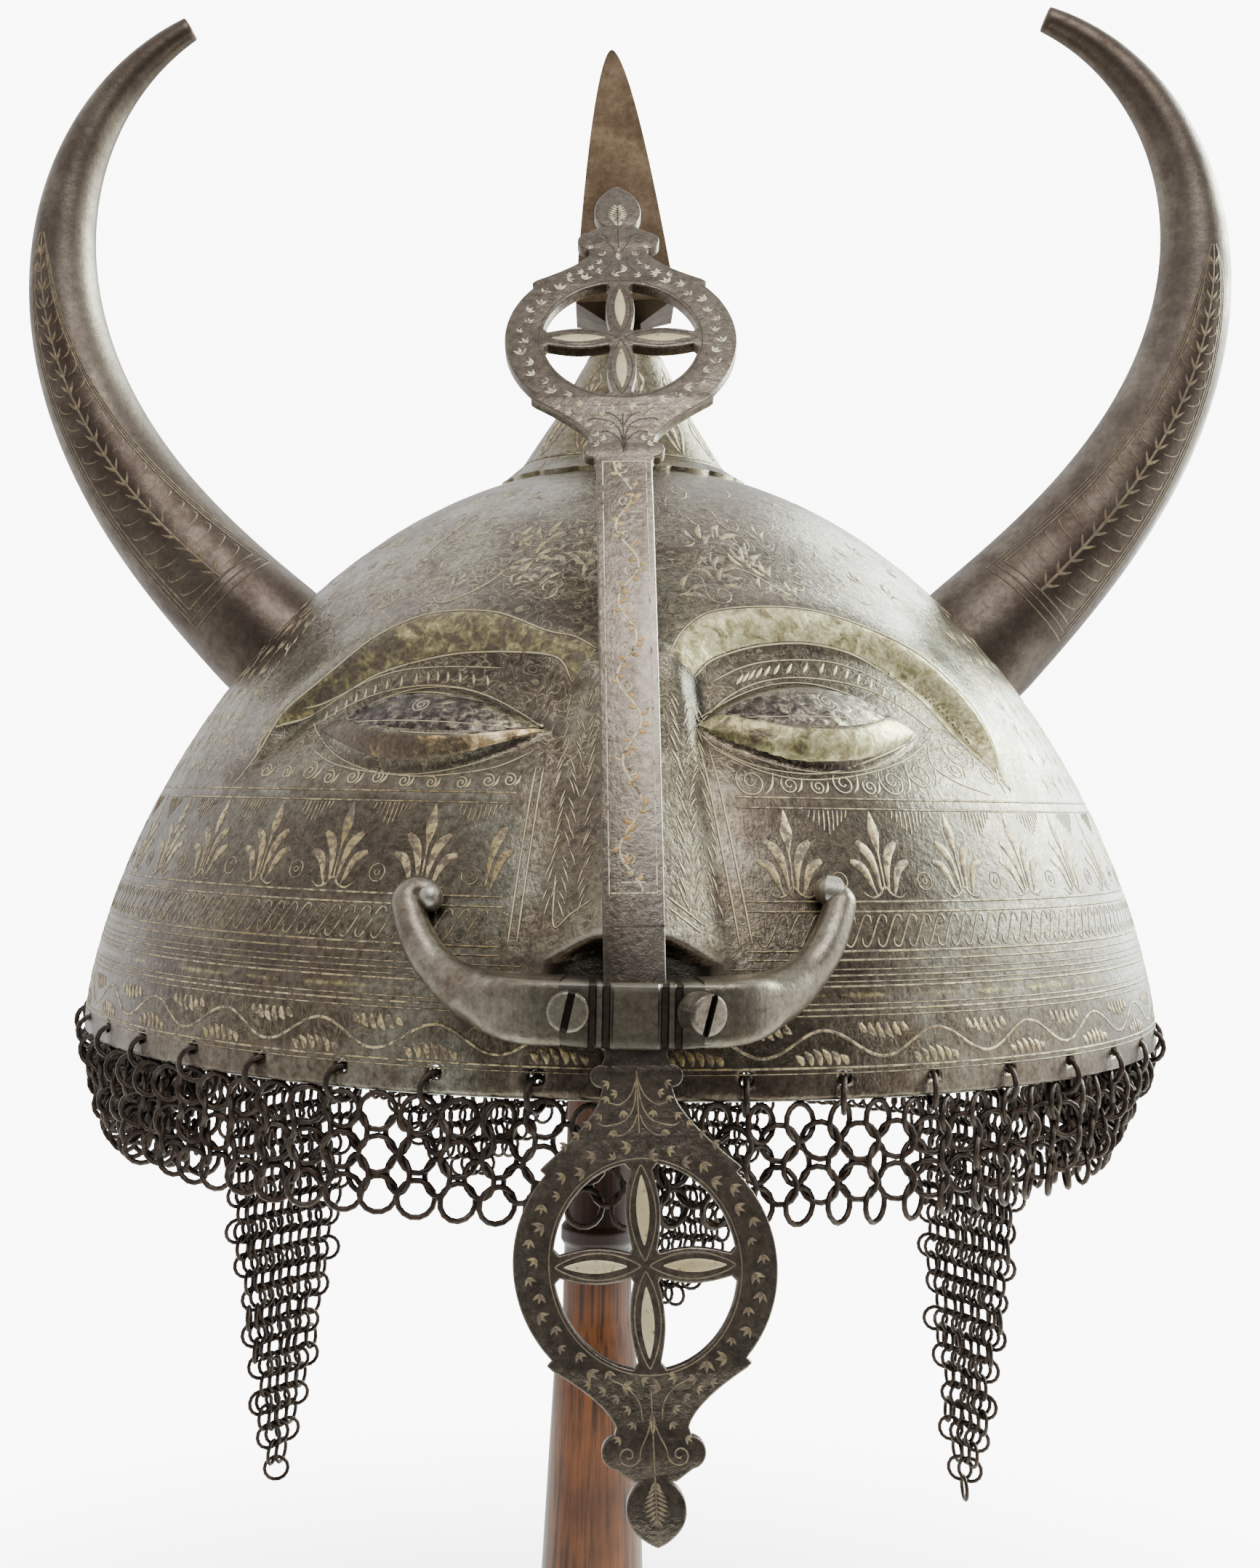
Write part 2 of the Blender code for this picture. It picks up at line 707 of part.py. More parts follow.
def moustache_bracket(mat, parent):
    front = []
    back = []
    steps = 8
    for k in range(steps + 1):
        x = plate_left + (plate_right - plate_left) * k / steps
        front.append((x, -math.sqrt(plate_radius ** 2 - x * x)))
        back.append((x, -bowl_radius * 0.95))
    corners = front + list(reversed(back))
    loops = [[Vector((x, y, z)) for x, y in corners] for z in (plate_low, plate_high)]
    bm = loft(loops)
    bmesh.ops.holes_fill(bm, edges=bm.edges)
    obj = object_from(bm, "moustache_bracket", mat, parent)
    for row in arms:
        combine(obj, arm(row, parent), "UNION")
    panel_front = -plate_radius - panel_rise
    combine(obj, box("panel_stock", (panel_x - panel_half, panel_front, plate_low),
                     (panel_x + panel_half, -bowl_radius, plate_high), parent), "UNION")
    for side in (-1, 1):
        for offset in groove_offsets:
            x = panel_x + side * offset
            combine(obj, box("groove_cutter", (x - groove_half, -0.120, plate_low - 0.001),
                             (x + groove_half, -plate_radius + groove_depth, plate_high + 0.001), parent),
                    "DIFFERENCE")
    half = bar_width / 2 + slot_clearance
    deep = bar_thickness / 2 + slot_clearance
    lean = Matrix.Rotation(-math.radians(bar_lean), 4, "X")
    tilt = Matrix.Rotation(math.radians(nasal_tilt), 4, "Y")
    hold = Matrix.Translation(Vector((bar_front_x, bar_front_y, bar_front_z))) @ tilt @ lean
    combine(obj, box("slot_cutter", (-half, -deep, -0.012), (half, deep, 0.012), parent, hold), "DIFFERENCE")
    for row in screws:
        combine(obj, rod("screw_hole", Vector((row["x"], -bowl_radius, screw_z)), screw_hole_radius,
                         0.04, parent), "DIFFERENCE")
    combine(obj, bowl_stock(parent), "DIFFERENCE")


def screw(row, mat, parent):
    # A slotted head on a shank that reaches the bowl through the bracket
    seat_y = -math.sqrt(plate_radius ** 2 - row["x"] ** 2) - row["stand_out"]
    bowl_y = -math.sqrt((bowl_radius_at(screw_z) + 0.0006) ** 2 - row["x"] ** 2)
    reach = bowl_y - seat_y
    profile = [
        {"radius": screw_shank_radius, "y": reach},
        {"radius": screw_shank_radius, "y": 0.0},
        {"radius": screw_head_radius, "y": 0.0},
        {"radius": screw_head_radius, "y": -screw_head_height * 0.7},
        {"radius": screw_head_radius * 0.8, "y": -screw_head_height},
    ]
    side = Vector((1, 0, 0))
    up = Vector((0, 0, 1))
    loops = [circle(Vector((0, r["y"], 0)), r["radius"], screw_sides, side, up) for r in profile]
    bm = loft(loops, Vector((0, reach, 0)), Vector((0, -screw_head_height, 0)))
    obj = object_from(bm, row["name"], mat, parent)
    obj.location = (row["x"], seat_y, screw_z)
    obj.rotation_euler = (math.radians(row["lean_x"]), 0, math.radians(row["lean_z"]))
    half = screw_slot_width / 2
    turn = Matrix.Rotation(math.radians(row["slot"]), 4, "Y")
    low = (-half, -0.01, -screw_head_radius * 1.2)
    high = (half, -screw_head_height + screw_slot_depth, screw_head_radius * 1.2)
    cutter = box("slot_cutter", low, high, obj, turn)
    combine(obj, cutter, "DIFFERENCE")


# Mail

def mail_drop(angle):
    # How far the mail hangs below its top edge at an angle from the front
    back = smooth_step(mail_band_blend[0], mail_band_blend[1], abs(angle))
    band = mail_band_front + (mail_band_back - mail_band_front) * back
    drop = band
    for row in mail_points:
        away = abs((angle - row["angle"] + 180) % 360 - 180) / row["half_angle"]
        if away < 1:
            drop = max(drop, band + (row["length"] - band) * (1 - away ** row["roundness"]))
    return drop


def mail_middle(angle, fall):
    tuck = mail_tuck_left if angle < 0 else mail_tuck_right
    lean = tuck * math.exp(-((abs(angle) - mail_tuck_angle) / mail_tuck_spread) ** 2)
    return mail_radius - lean * min(fall, mail_band_front)


def mail_curtain(mat, parent):
    loops = []
    for k in range(mail_columns):
        angle = -180 + 360 * k / mail_columns
        drop = mail_drop(angle)
        falls = [drop * i / mail_rows for i in range(mail_rows + 1)]
        outside = [round_bowl(angle, mail_middle(angle, f) + mail_wall / 2, mail_top - f) for f in falls]
        inside = [round_bowl(angle, mail_middle(angle, f) - mail_wall / 2, mail_top - f) for f in falls]
        loops.append(outside + list(reversed(inside)))
    object_from(loft(loops, closed=True), "mail_curtain", mat, parent)


# Stand

def turned(rows, count):
    side = Vector((1, 0, 0))
    depth = Vector((0, 1, 0))
    loops = [circle(Vector((0, 0, r["height"])), r["radius"], count, side, depth) for r in rows]
    return loft(loops, Vector((0, 0, rows[0]["height"])), Vector((0, 0, rows[-1]["height"])))


def stand_foot(mat):
    profile = [
        {"radius": foot_radius, "height": 0.0},
        {"radius": foot_radius, "height": foot_thickness - foot_bevel},
        {"radius": foot_radius - foot_bevel, "height": foot_thickness},
        {"radius": socket_radius, "height": foot_thickness},
        {"radius": socket_radius, "height": foot_thickness - socket_sink},
    ]
    object_from(turned(profile, stand_sides), "stand_foot", mat)


def stand_post(mat):
    object_from(turned(post_rows, stand_sides // 2), "stand_post", mat)


def build():
    clear_scene()
    helmet = bpy.data.objects.new("helmet", None)
    bpy.context.collection.objects.link(helmet)
    helmet.location = (helmet_shift, 0, rim_height)
    bowl_steel = material("bowl_steel", (0.17, 0.15, 0.13), 0.42, 0.9)
    bowl(bowl_steel, helmet)
    for row in horns:
        horn(row, material(row["name"] + "_steel", (0.12, 0.10, 0.09), 0.45, 0.9), helmet)
    spike_base(material("spike_base_steel", (0.15, 0.14, 0.11), 0.45, 0.9), helmet)
    spike(material("spike_steel", (0.10, 0.07, 0.045), 0.5, 0.85), helmet)
    nasal(material("nasal_steel", (0.16, 0.145, 0.125), 0.45, 0.9), helmet)
    moustache_bracket(material("bracket_steel", (0.12, 0.105, 0.09), 0.4, 0.95), helmet)
    for row in screws:
        screw(row, material(row["name"] + "_steel", (0.35, 0.33, 0.29), 0.35, 1.0), helmet)
    mail_curtain(material("mail_steel", (0.07, 0.062, 0.052), 0.5, 0.9), helmet)
    stand_foot(material("stand_foot_wood", (0.22, 0.075, 0.03), 0.35, 0.0))
    stand_post(material("stand_post_wood", (0.27, 0.09, 0.035), 0.3, 0.0))


build()
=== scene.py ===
import math

import bmesh
import bpy
import numpy as np
from mathutils import Matrix


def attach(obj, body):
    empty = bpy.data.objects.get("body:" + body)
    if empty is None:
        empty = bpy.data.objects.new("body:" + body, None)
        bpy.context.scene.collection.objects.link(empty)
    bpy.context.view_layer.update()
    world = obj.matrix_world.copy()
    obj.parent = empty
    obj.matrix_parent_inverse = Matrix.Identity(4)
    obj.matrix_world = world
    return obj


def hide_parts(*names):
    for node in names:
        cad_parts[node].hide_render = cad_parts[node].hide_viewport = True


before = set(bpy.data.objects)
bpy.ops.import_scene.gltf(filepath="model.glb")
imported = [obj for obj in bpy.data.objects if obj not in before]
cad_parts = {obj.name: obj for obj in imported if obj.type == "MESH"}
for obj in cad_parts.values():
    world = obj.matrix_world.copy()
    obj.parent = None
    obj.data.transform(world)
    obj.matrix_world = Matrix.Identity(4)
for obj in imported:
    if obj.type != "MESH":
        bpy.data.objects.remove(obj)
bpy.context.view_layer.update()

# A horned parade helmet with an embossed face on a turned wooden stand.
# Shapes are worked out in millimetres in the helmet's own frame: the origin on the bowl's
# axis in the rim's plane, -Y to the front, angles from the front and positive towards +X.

placing = {"shiftX": 3.8, "rimHeight": 180.0}
chance = np.random.default_rng(7)


def toWorld(points):
    # Metres from the floor = (millimetres from the rim's centre + the helmet's place) / 1000
    return (np.asarray(points, float) + (placing["shiftX"], 0.0, placing["rimHeight"])) / 1000.0


def toLinear(hexColour):
    # sRGB to linear light: c / 12.92 below 0.04045, else ((c + 0.055) / 1.055) ^ 2.4
    channels = [int(hexColour[k:k + 2], 16) / 255 for k in (1, 3, 5)]
    linear = [c / 12.92 if c <= 0.04045 else ((c + 0.055) / 1.055) ** 2.4 for c in channels]
    return (*linear, 1.0)


def smoothStep(low, high, value):
    # t * t * (3 - 2 t) of the clipped share t between low and high
    t = np.clip((value - low) / (high - low), 0.0, 1.0)
    return t * t * (3 - 2 * t)


def join(*parts):
    # Arrays or numbers side by side, as the coordinates of points
    return np.stack(np.broadcast_arrays(*parts), -1)


def unit(vectors):
    # v / |v|
    return vectors / np.maximum(np.linalg.norm(vectors, axis=-1, keepdims=True), 1e-9)


def roundAxis(reach, phi, z):
    # (reach * sin phi, -reach * cos phi, z)
    turn = np.radians(phi)
    return join(reach * np.sin(turn), -reach * np.cos(turn), z)


def gridFaces(rows, columns, closed=False, start=0):
    # Quads between the neighbours of a rows x columns grid; closed joins the last column to the first
    index = np.arange(rows * columns).reshape(rows, columns) + start
    if closed:
        index = np.concatenate([index, index[:, :1]], axis=1)
    return join(index[:-1, :-1], index[:-1, 1:], index[1:, 1:], index[1:, :-1]).reshape(-1, 4)


def fan(ring, tip, upwards=True):
    # Triangles from each edge of a closed ring of vertex numbers to one tip
    after = np.roll(ring, -1)
    return join(ring, after, tip) if upwards else join(after, ring, tip)


def tube(loops, tips):
    # Rings of points joined into one skin, with the first and the last ring each drawn to a tip
    rows, sides = loops.shape[:2]
    ring, count = np.arange(sides), rows * sides
    faces = [gridFaces(rows, sides, closed=True), fan(ring, count, upwards=False),
             fan(count - sides + ring, count + 1)]
    return np.concatenate([loops.reshape(-1, 3), tips]), faces


def gridBorder(rows, columns):
    # The vertex numbers round a grid's border, in turn
    index = np.arange(rows * columns).reshape(rows, columns)
    return np.concatenate([index[0, :], index[1:, -1], index[-1, -2::-1], index[-2:0:-1, 0]])


def copies(faces, count, step):
    # The faces of one shape, then of its copies, whose vertices follow a step apart
    return (faces[None] + (np.arange(count) * step)[:, None, None]).reshape(-1, faces.shape[1])


def makeMesh(name, points, faces, material, sharp=None):
    # Puts whole arrays of points and faces into a mesh; no vertex is visited on its own
    mesh = bpy.data.meshes.new(name)
    loops = np.concatenate([block.ravel() for block in faces]).astype(np.int32)
    sizes = np.concatenate([np.full(len(block), block.shape[1]) for block in faces])
    starts = (np.cumsum(sizes) - sizes).astype(np.int32)
    mesh.vertices.add(len(points))
    mesh.vertices.foreach_set("co", toWorld(points).astype(np.float32).ravel())
    mesh.loops.add(len(loops))
    mesh.loops.foreach_set("vertex_index", loops)
    mesh.polygons.add(len(sizes))
    mesh.polygons.foreach_set("loop_start", starts)
    mesh.update(calc_edges=True)
    mesh.validate()
    mesh.shade_smooth()
    if sharp:
        mesh.set_sharp_from_angle(angle=math.radians(sharp))
    piece = bpy.data.objects.new(name, mesh)
    bpy.context.collection.objects.link(piece)
    mesh.materials.append(material)
    return piece


def dress(piece, body, slot, *nodes):
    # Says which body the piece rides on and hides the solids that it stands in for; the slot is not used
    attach(piece, body)
    if nodes:
        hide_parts(*nodes)
    print("made", piece.name, len(piece.data.polygons), "faces")


# Materials

def setInputs(tree, node, inputs):
    # A node is linked by its first live output, (node, name) by the output of that name; anything else is
    # set on the socket, a hex colour as linear light
    for name, value in inputs.items():
        source, output = value if isinstance(value, tuple) and hasattr(value[0], "outputs") else (value, None)
        if hasattr(source, "outputs"):
            live = source.outputs[output] if output else next(out for out in source.outputs if out.enabled)
            tree.links.new(live, node.inputs[name])
        else:
            node.inputs[name].default_value = toLinear(value) if isinstance(value, str) else value


def addNode(tree, kind, inputs=None, stops=None, **settings):
    # Adds one node with its settings, inputs and links; stops are a ramp's places in rising order, each
    # with a hex colour or a grey number
    node = tree.nodes.new("ShaderNode" + kind)
    for name, value in settings.items():
        setattr(node, name, value)
    setInputs(tree, node, inputs or {})
    for k, (place, colour) in enumerate(stops or ()):
        element = node.color_ramp.elements[k] if k < 2 else node.color_ramp.elements.new(place)
        element.position = place
        element.color = toLinear(colour) if isinstance(colour, str) else (colour, colour, colour, 1.0)
    return node


def startMaterial(name):
    # A new material, its node tree, its shader and the metres on the piece that its patterns read
    material = bpy.data.materials.new(name)
    material.use_nodes = True
    tree = material.node_tree
    return material, tree, tree.nodes["Principled BSDF"], (addNode(tree, "TexCoord"), "Object")


def agedSteel(recipe):
    # Old iron or steel, hammered and hand polished: cloudy grey with brown patina in patches of
    # centimetres, pits of a millimetre, faint remains of engraved scrolls, fine rubbing scratches that
    # soften its gloss, and painted gilding, dirt and painted shade, rubbed edges and painted highlights
    material, tree, shader, spot = startMaterial(recipe["name"])
    clouds, patches, pits = (
        addNode(tree, "TexNoise", {"Vector": spot, "Scale": 1 / recipe[size], "Detail": detail, "Roughness": rough})
        for size, detail, rough in (("cloudSize", 5.0, 0.6), ("patchSize", 8.0, 0.72), ("pitSize", 4.0, 0.7)))
    turned = addNode(tree, "Mapping", {"Vector": spot, "Rotation": (0.4, 0.7, 0.3),
                                       "Scale": tuple(1 / size for size in recipe["scratch"])})
    rubs = addNode(tree, "TexNoise", {"Vector": turned, "Scale": 1.0, "Detail": 2.0})
    curls = addNode(tree, "TexNoise", {"Vector": spot, "Scale": 1 / recipe["curlSize"], "Detail": 1.5,
                                       "Distortion": 1.6})
    tone = addNode(tree, "ValToRGB", {"Fac": clouds},
                   [(0.30, recipe["dark"]), (0.50, recipe["middle"]), (0.70, recipe["light"])])
    stain = addNode(tree, "ValToRGB", {"Fac": patches}, [(0.42, 0.0), (0.62, recipe["patinaShare"])])
    stained = addNode(tree, "Mix", {"Factor": stain, "A": tone, "B": recipe["patina"]}, data_type="RGBA")
    speck = addNode(tree, "ValToRGB", {"Fac": pits}, [(0.32, 0.42), (0.52, 1.0), (0.68, 1.4)])
    speckled = addNode(tree, "Mix", {"Factor": recipe["speckShare"], "A": stained, "B": speck}, data_type="RGBA",
                       blend_type="MULTIPLY")
    field = addNode(tree, "Attribute", attribute_name="tracery")
    line = addNode(tree, "ValToRGB", {"Fac": curls},
                   [(0.43, 0.0), (0.455, 1.0), (0.48, 0.0), (0.53, 0.0), (0.555, 1.0), (0.58, 0.0)])
    worn = addNode(tree, "Math", {0: line, 1: patches}, operation="MULTIPLY")
    trace = addNode(tree, "Math", {0: worn, 1: (field, "Fac")}, operation="MULTIPLY")
    traced = addNode(tree, "Mix", {"Factor": trace, "A": speckled, "B": recipe["trace"]}, data_type="RGBA")
    wearShadeAndHighlight = addNode(tree, "Attribute", attribute_name="wearShadeAndHighlight")
    parts = addNode(tree, "SeparateColor", {"Color": wearShadeAndHighlight})
    ragged = addNode(tree, "Math", {0: (parts, "Red"), 1: patches}, operation="MULTIPLY")
    edge = addNode(tree, "ValToRGB", {"Fac": ragged}, [(0.36, 0.0), (0.50, 0.85)])
    gildTone = addNode(tree, "ValToRGB", {"Fac": pits},
                       [(0.36, recipe["gildDark"]), (0.52, recipe["gild"]), (0.68, recipe["gildLight"])])
    gilded = addNode(tree, "Mix", {"Factor": edge, "A": traced, "B": gildTone}, data_type="RGBA")
    # Green darkens to the grime-and-shade colour: dirt and painted shade
    grimeAndShade = addNode(tree, "Mix", {"Factor": (parts, "Green"), "A": gilded, "B": recipe["grimeAndShade"]}, data_type="RGBA")
    # Blue lightens to the rubbed colour: rubbed steel and painted highlights
    bright = addNode(tree, "Mix", {"Factor": (parts, "Blue"), "A": grimeAndShade, "B": recipe["rubbed"]}, data_type="RGBA")
    gloss = addNode(tree, "MapRange", {"Value": patches, "From Min": 0.35, "From Max": 0.65,
                                       "To Min": recipe["roughLow"], "To Max": recipe["roughHigh"]})
    heights = addNode(tree, "Math", {0: patches, 1: pits}, operation="ADD")
    rubbed = addNode(tree, "Math", {0: rubs, 1: 0.35, 2: heights}, operation="MULTIPLY_ADD")
    bump = addNode(tree, "Bump", {"Height": rubbed, "Strength": recipe["bump"], "Distance": 0.0004})
    setInputs(tree, shader, {"Base Color": bright, "Roughness": gloss,
                             "Normal": bump, "Metallic": recipe["metallic"]})
    return material


def wornGold(recipe):
    # Gold wire and leaf hammered into cut lines, dulled and rubbed away in spots: the steel's
    # brown shows through over a millimetre or two
    material, tree, shader, spot = startMaterial(recipe["name"])
    rubbed = addNode(tree, "TexNoise", {"Vector": spot, "Scale": 1 / recipe["rubSize"], "Detail": 6.0,
                                        "Roughness": 0.7})
    tone = addNode(tree, "TexNoise", {"Vector": spot, "Scale": 1 / 0.012, "Detail": 4.0})
    gold = addNode(tree, "ValToRGB", {"Fac": tone}, [(0.35, recipe["deep"]), (0.65, recipe["pale"])])
    lost = addNode(tree, "ValToRGB", {"Fac": rubbed},
                   [(recipe["lossStart"], 1.0), (recipe["lossStart"] + 0.10, 0.0)])
    colour = addNode(tree, "Mix", {"Factor": lost, "A": gold, "B": recipe["bare"]}, data_type="RGBA")
    bump = addNode(tree, "Bump", {"Height": rubbed, "Strength": 0.5, "Distance": 0.0003})
    setInputs(tree, shader, {"Base Color": colour, "Normal": bump,
                             "Metallic": recipe["metallic"], "Roughness": recipe["roughness"]})
    return material


def mottledLeaf(recipe):
    # Leaf rubbed down to the steel: ragged islands of one colour over another, three millimetres
    # across, with grains of half a millimetre; the painted share says how much is left, and in places paints a
    # highlight
    material, tree, shader, spot = startMaterial(recipe["name"])
    islands = addNode(tree, "TexNoise", {"Vector": spot, "Scale": 1 / recipe["islandSize"], "Detail": 6.0,
                                         "Roughness": 0.68, "Distortion": 0.6})
    grains = addNode(tree, "TexNoise", {"Vector": spot, "Scale": 1 / 0.0007, "Detail": 3.0})
    left = addNode(tree, "Attribute", attribute_name="left")
    total = addNode(tree, "Math", {0: islands, 1: (left, "Fac")})
    share = addNode(tree, "ValToRGB", {"Fac": total},
                    [(0.44, recipe["bare"]), (0.52, recipe["stained"]), (0.60, recipe["leaf"]),
                     (0.74, recipe["pale"])])
    speck = addNode(tree, "ValToRGB", {"Fac": grains}, [(0.36, 0.6), (0.56, 1.0), (0.72, 1.25)])
    colour = addNode(tree, "Mix", {"Factor": 0.8, "A": share, "B": speck},
                     data_type="RGBA", blend_type="MULTIPLY")
    bump = addNode(tree, "Bump", {"Height": islands, "Strength": 0.5, "Distance": 0.0005})
    setInputs(tree, shader, {"Base Color": colour, "Normal": bump,
                             "Metallic": recipe["metallic"], "Roughness": recipe["roughness"]})
    return material


def cutLine(recipe):
    # A line cut by a graver and filled with old dirt: dark, dull and a little broken
    material, tree, shader, spot = startMaterial(recipe["name"])
    dirt = addNode(tree, "TexNoise", {"Vector": spot, "Scale": 1 / 0.0014, "Detail": 4.0, "Roughness": 0.7})
    tone = addNode(tree, "ValToRGB", {"Fac": dirt}, [(0.38, recipe["deep"]), (0.64, recipe["edge"])])
    setInputs(tree, shader, {"Base Color": tone, "Metallic": 0.45, "Roughness": 0.6})
    return material


def varnishedWood(recipe):
    # Turned hardwood under old varnish: straight dark grain lines a millimetre apart that run
    # up the post, a slow change of red over centimetres, and a clear gloss on top
    material, tree, shader, spot = startMaterial(recipe["name"])
    along = addNode(tree, "Mapping", {"Vector": spot, "Scale": (1 / recipe["grain"], 1 / recipe["grain"], 1 / 0.09)})
    streaks = addNode(tree, "TexNoise", {"Vector": along, "Scale": 1.0, "Detail": 5.0, "Roughness": 0.65})
    slow = addNode(tree, "TexNoise", {"Vector": spot, "Scale": 1 / 0.02, "Detail": 3.0})
    body = addNode(tree, "ValToRGB", {"Fac": slow}, [(0.35, recipe["dark"]), (0.65, recipe["light"])])
    lines = addNode(tree, "ValToRGB", {"Fac": streaks}, [(0.36, 0.14), (0.50, 0.85), (0.62, 1.15)])
    colour = addNode(tree, "Mix", {"Factor": 0.9, "A": body, "B": lines},
                     data_type="RGBA", blend_type="MULTIPLY")
    # The painted layer darkens a ring on the bead and, as painted shade, the post under the helmet
    stain = addNode(tree, "Attribute", attribute_name="stain")
    stained = addNode(tree, "Mix", {"Factor": (stain, "Fac"), "A": colour, "B": recipe["stain"]}, data_type="RGBA")
    bump = addNode(tree, "Bump", {"Height": streaks, "Strength": 0.15, "Distance": 0.0003})
    setInputs(tree, shader, {"Base Color": stained, "Normal": bump, "Roughness": 0.42,
                             "Specular IOR Level": 0.35, "Coat Weight": 0.15, "Coat Roughness": 0.15})
    return material


# grimeAndShade is the colour of dirt and painted shade; rubbed is that of rubbed steel and painted highlights
bowlFinish = {"name": "bowlChiselledSteel", "dark": "#473b37", "middle": "#71675a", "light": "#979687",
              "patina": "#5c5042", "patinaShare": 0.8, "speckShare": 0.9, "grimeAndShade": "#2a2723",
              "rubbed": "#b9b4a8", "gildDark": "#6d6540", "gild": "#a39a6c", "gildLight": "#c4bc92",
              "trace": "#d2c7a2", "curlSize": 0.0038, "cloudSize": 0.03, "patchSize": 0.008, "pitSize": 0.0012,
              "scratch": (0.0005, 0.0005, 0.012), "roughLow": 0.22, "roughHigh": 0.38, "bump": 0.34,
              "metallic": 0.94}
hornFinish = {**bowlFinish, "name": "hornDarkSteel", "dark": "#50443e", "middle": "#63584f", "light": "#756c60",
              "patina": "#4a3e37", "bump": 0.14, "speckShare": 0.4, "cloudSize": 0.02, "grimeAndShade": "#33291f",
              "roughLow": 0.36, "roughHigh": 0.5}
coneFinish = {**bowlFinish, "name": "coneGreenishSteel", "dark": "#5f5b4b", "middle": "#777260", "light": "#8f8a74",
              "patina": "#6b5b3e"}
spikeFinish = {**bowlFinish, "name": "spikeBrownedSteel", "dark": "#40352a", "middle": "#504334", "light": "#5f513e",
               "patina": "#443628", "bump": 0.14, "speckShare": 0.35, "roughLow": 0.4, "roughHigh": 0.55}
nasalFinish = {**bowlFinish, "name": "nasalEngravedSteel", "dark": "#61584f", "middle": "#756c61", "light": "#8a8073",
               "patina": "#62544a", "bump": 0.3, "patinaShare": 0.5, "speckShare": 0.7, "grimeAndShade": "#2e2925"}
bracketFinish = {**bowlFinish, "name": "bracketForgedSteel", "dark": "#645d52", "middle": "#7e776a",
                 "light": "#979082", "patina": "#63574a", "bump": 0.22, "metallic": 0.95,
                 "roughLow": 0.28, "roughHigh": 0.42, "speckShare": 0.6}
screwFinish = {**bracketFinish, "name": "screwBrightSteel", "dark": "#736d62", "middle": "#918b7f",
               "light": "#aea89c", "patina": "#6f6152", "grimeAndShade": "#1f1a17"}
mailFinish = {**bracketFinish, "name": "mailOxidisedWire", "dark": "#2f2926", "middle": "#433b36", "light": "#5a5249",
              "patina": "#3f3027", "cloudSize": 0.006, "patchSize": 0.002, "pitSize": 0.0006, "roughLow": 0.38,
              "roughHigh": 0.55, "metallic": 0.9}
inlayFinish = {"name": "inlaidGold", "deep": "#9b8759", "pale": "#cdbd90", "bare": "#6a5d50", "rubSize": 0.0013,
               "lossStart": 0.45, "metallic": 0.6, "roughness": 0.5}
faintFinish = {**inlayFinish, "name": "wornThinGold", "deep": "#b09c70", "pale": "#d2c49a", "bare": "#7a7065",
               "rubSize": 0.0022, "lossStart": 0.46}
paleFinish = {**inlayFinish, "name": "inlaidPaleGold", "deep": "#b5a57c", "pale": "#cfc4a2", "lossStart": 0.34}
palestFinish = {**inlayFinish, "name": "inlaidBrightGold", "deep": "#c9bb95", "pale": "#ebe2c6", "lossStart": 0.4}
leafFinish = {**inlayFinish, "name": "inlaidRedGold", "deep": "#a98250", "pale": "#d9bb88", "lossStart": 0.36}
hornGoldFinish = {**inlayFinish, "name": "inlaidDullGold", "deep": "#6f6148", "pale": "#978764", "lossStart": 0.46}
gildFinish = {"name": "rubbedGilding", "bare": "#665c4e", "stained": "#7d7256", "leaf": "#a2986c", "pale": "#d6cda1",
              "islandSize": 0.0027, "metallic": 0.7, "roughness": 0.36}
warmFinish = {**gildFinish, "name": "rubbedRedGilding", "bare": "#5f5346", "stained": "#766850",
              "leaf": "#b89a6c", "pale": "#f0dcb0"}
ballFinish = {"name": "eyeballVioletSteel", "bare": "#393130", "stained": "#5b5149", "leaf": "#7f776a",
              "pale": "#d9d0a8", "islandSize": 0.0017, "metallic": 0.9, "roughness": 0.24}
engravedFinish = {"name": "engravedLine", "deep": "#362e28", "edge": "#5e544a"}
woodFinish = {"name": "postVarnishedHardwood", "grain": 0.0010, "dark": "#4c2611", "light": "#824b22",
              "stain": "#1f100a"}

bowlSteel, hornSteel, coneSteel, spikeSteel, nasalSteel, bracketSteel, screwSteel, mailWire = map(agedSteel, (
    bowlFinish, hornFinish, coneFinish, spikeFinish, nasalFinish, bracketFinish, screwFinish, mailFinish))
gold, faintGold, paleGold, leafGold, palestGold, hornGold = map(wornGold, (
    inlayFinish, faintFinish, paleFinish, leafFinish, palestFinish, hornGoldFinish))
gilding, warmGilding, ballSteel = map(mottledLeaf, (gildFinish, warmFinish, ballFinish))
engraved = cutLine(engravedFinish)
hardwood = varnishedWood(woodFinish)
print("materials ready")


# Bowl's plain form

bowl = {"radius": 105.0, "height": 111.5, "swell": 1.5536, "root": 0.4991, "wall": 1.6}


def bowlRadius(z):
    # radius * (1 - (z / height) ^ swell) ^ root
    share = np.clip(np.asarray(z, float) / bowl["height"], 0.0, 1.0)
    return bowl["radius"] * (1 - share ** bowl["swell"]) ** bowl["root"]


def bowlHeight(radius):
    # The same profile solved for the height
    return bowl["height"] * (1 - (np.asarray(radius,
                                             float) / bowl["radius"]) ** (1 / bowl["root"])) ** (1 / bowl["swell"])


def bowlTilt(z):
    # Angle by which the surface's normal rises above the horizontal
    low = np.maximum(np.asarray(z, float) - 0.2, 0.0)
    high = np.minimum(low + 0.4, bowl["height"] - 0.05)
    return np.arctan2(bowlRadius(low) - bowlRadius(high), high - low)


def onBowl(phi, z, lift):
    # The profile turned to the angle phi, then moved out along the normal by the lift
    tilt = bowlTilt(z)
    return roundAxis(bowlRadius(z) + lift * np.cos(tilt), phi, z + lift * np.sin(tilt))


# Embossed face

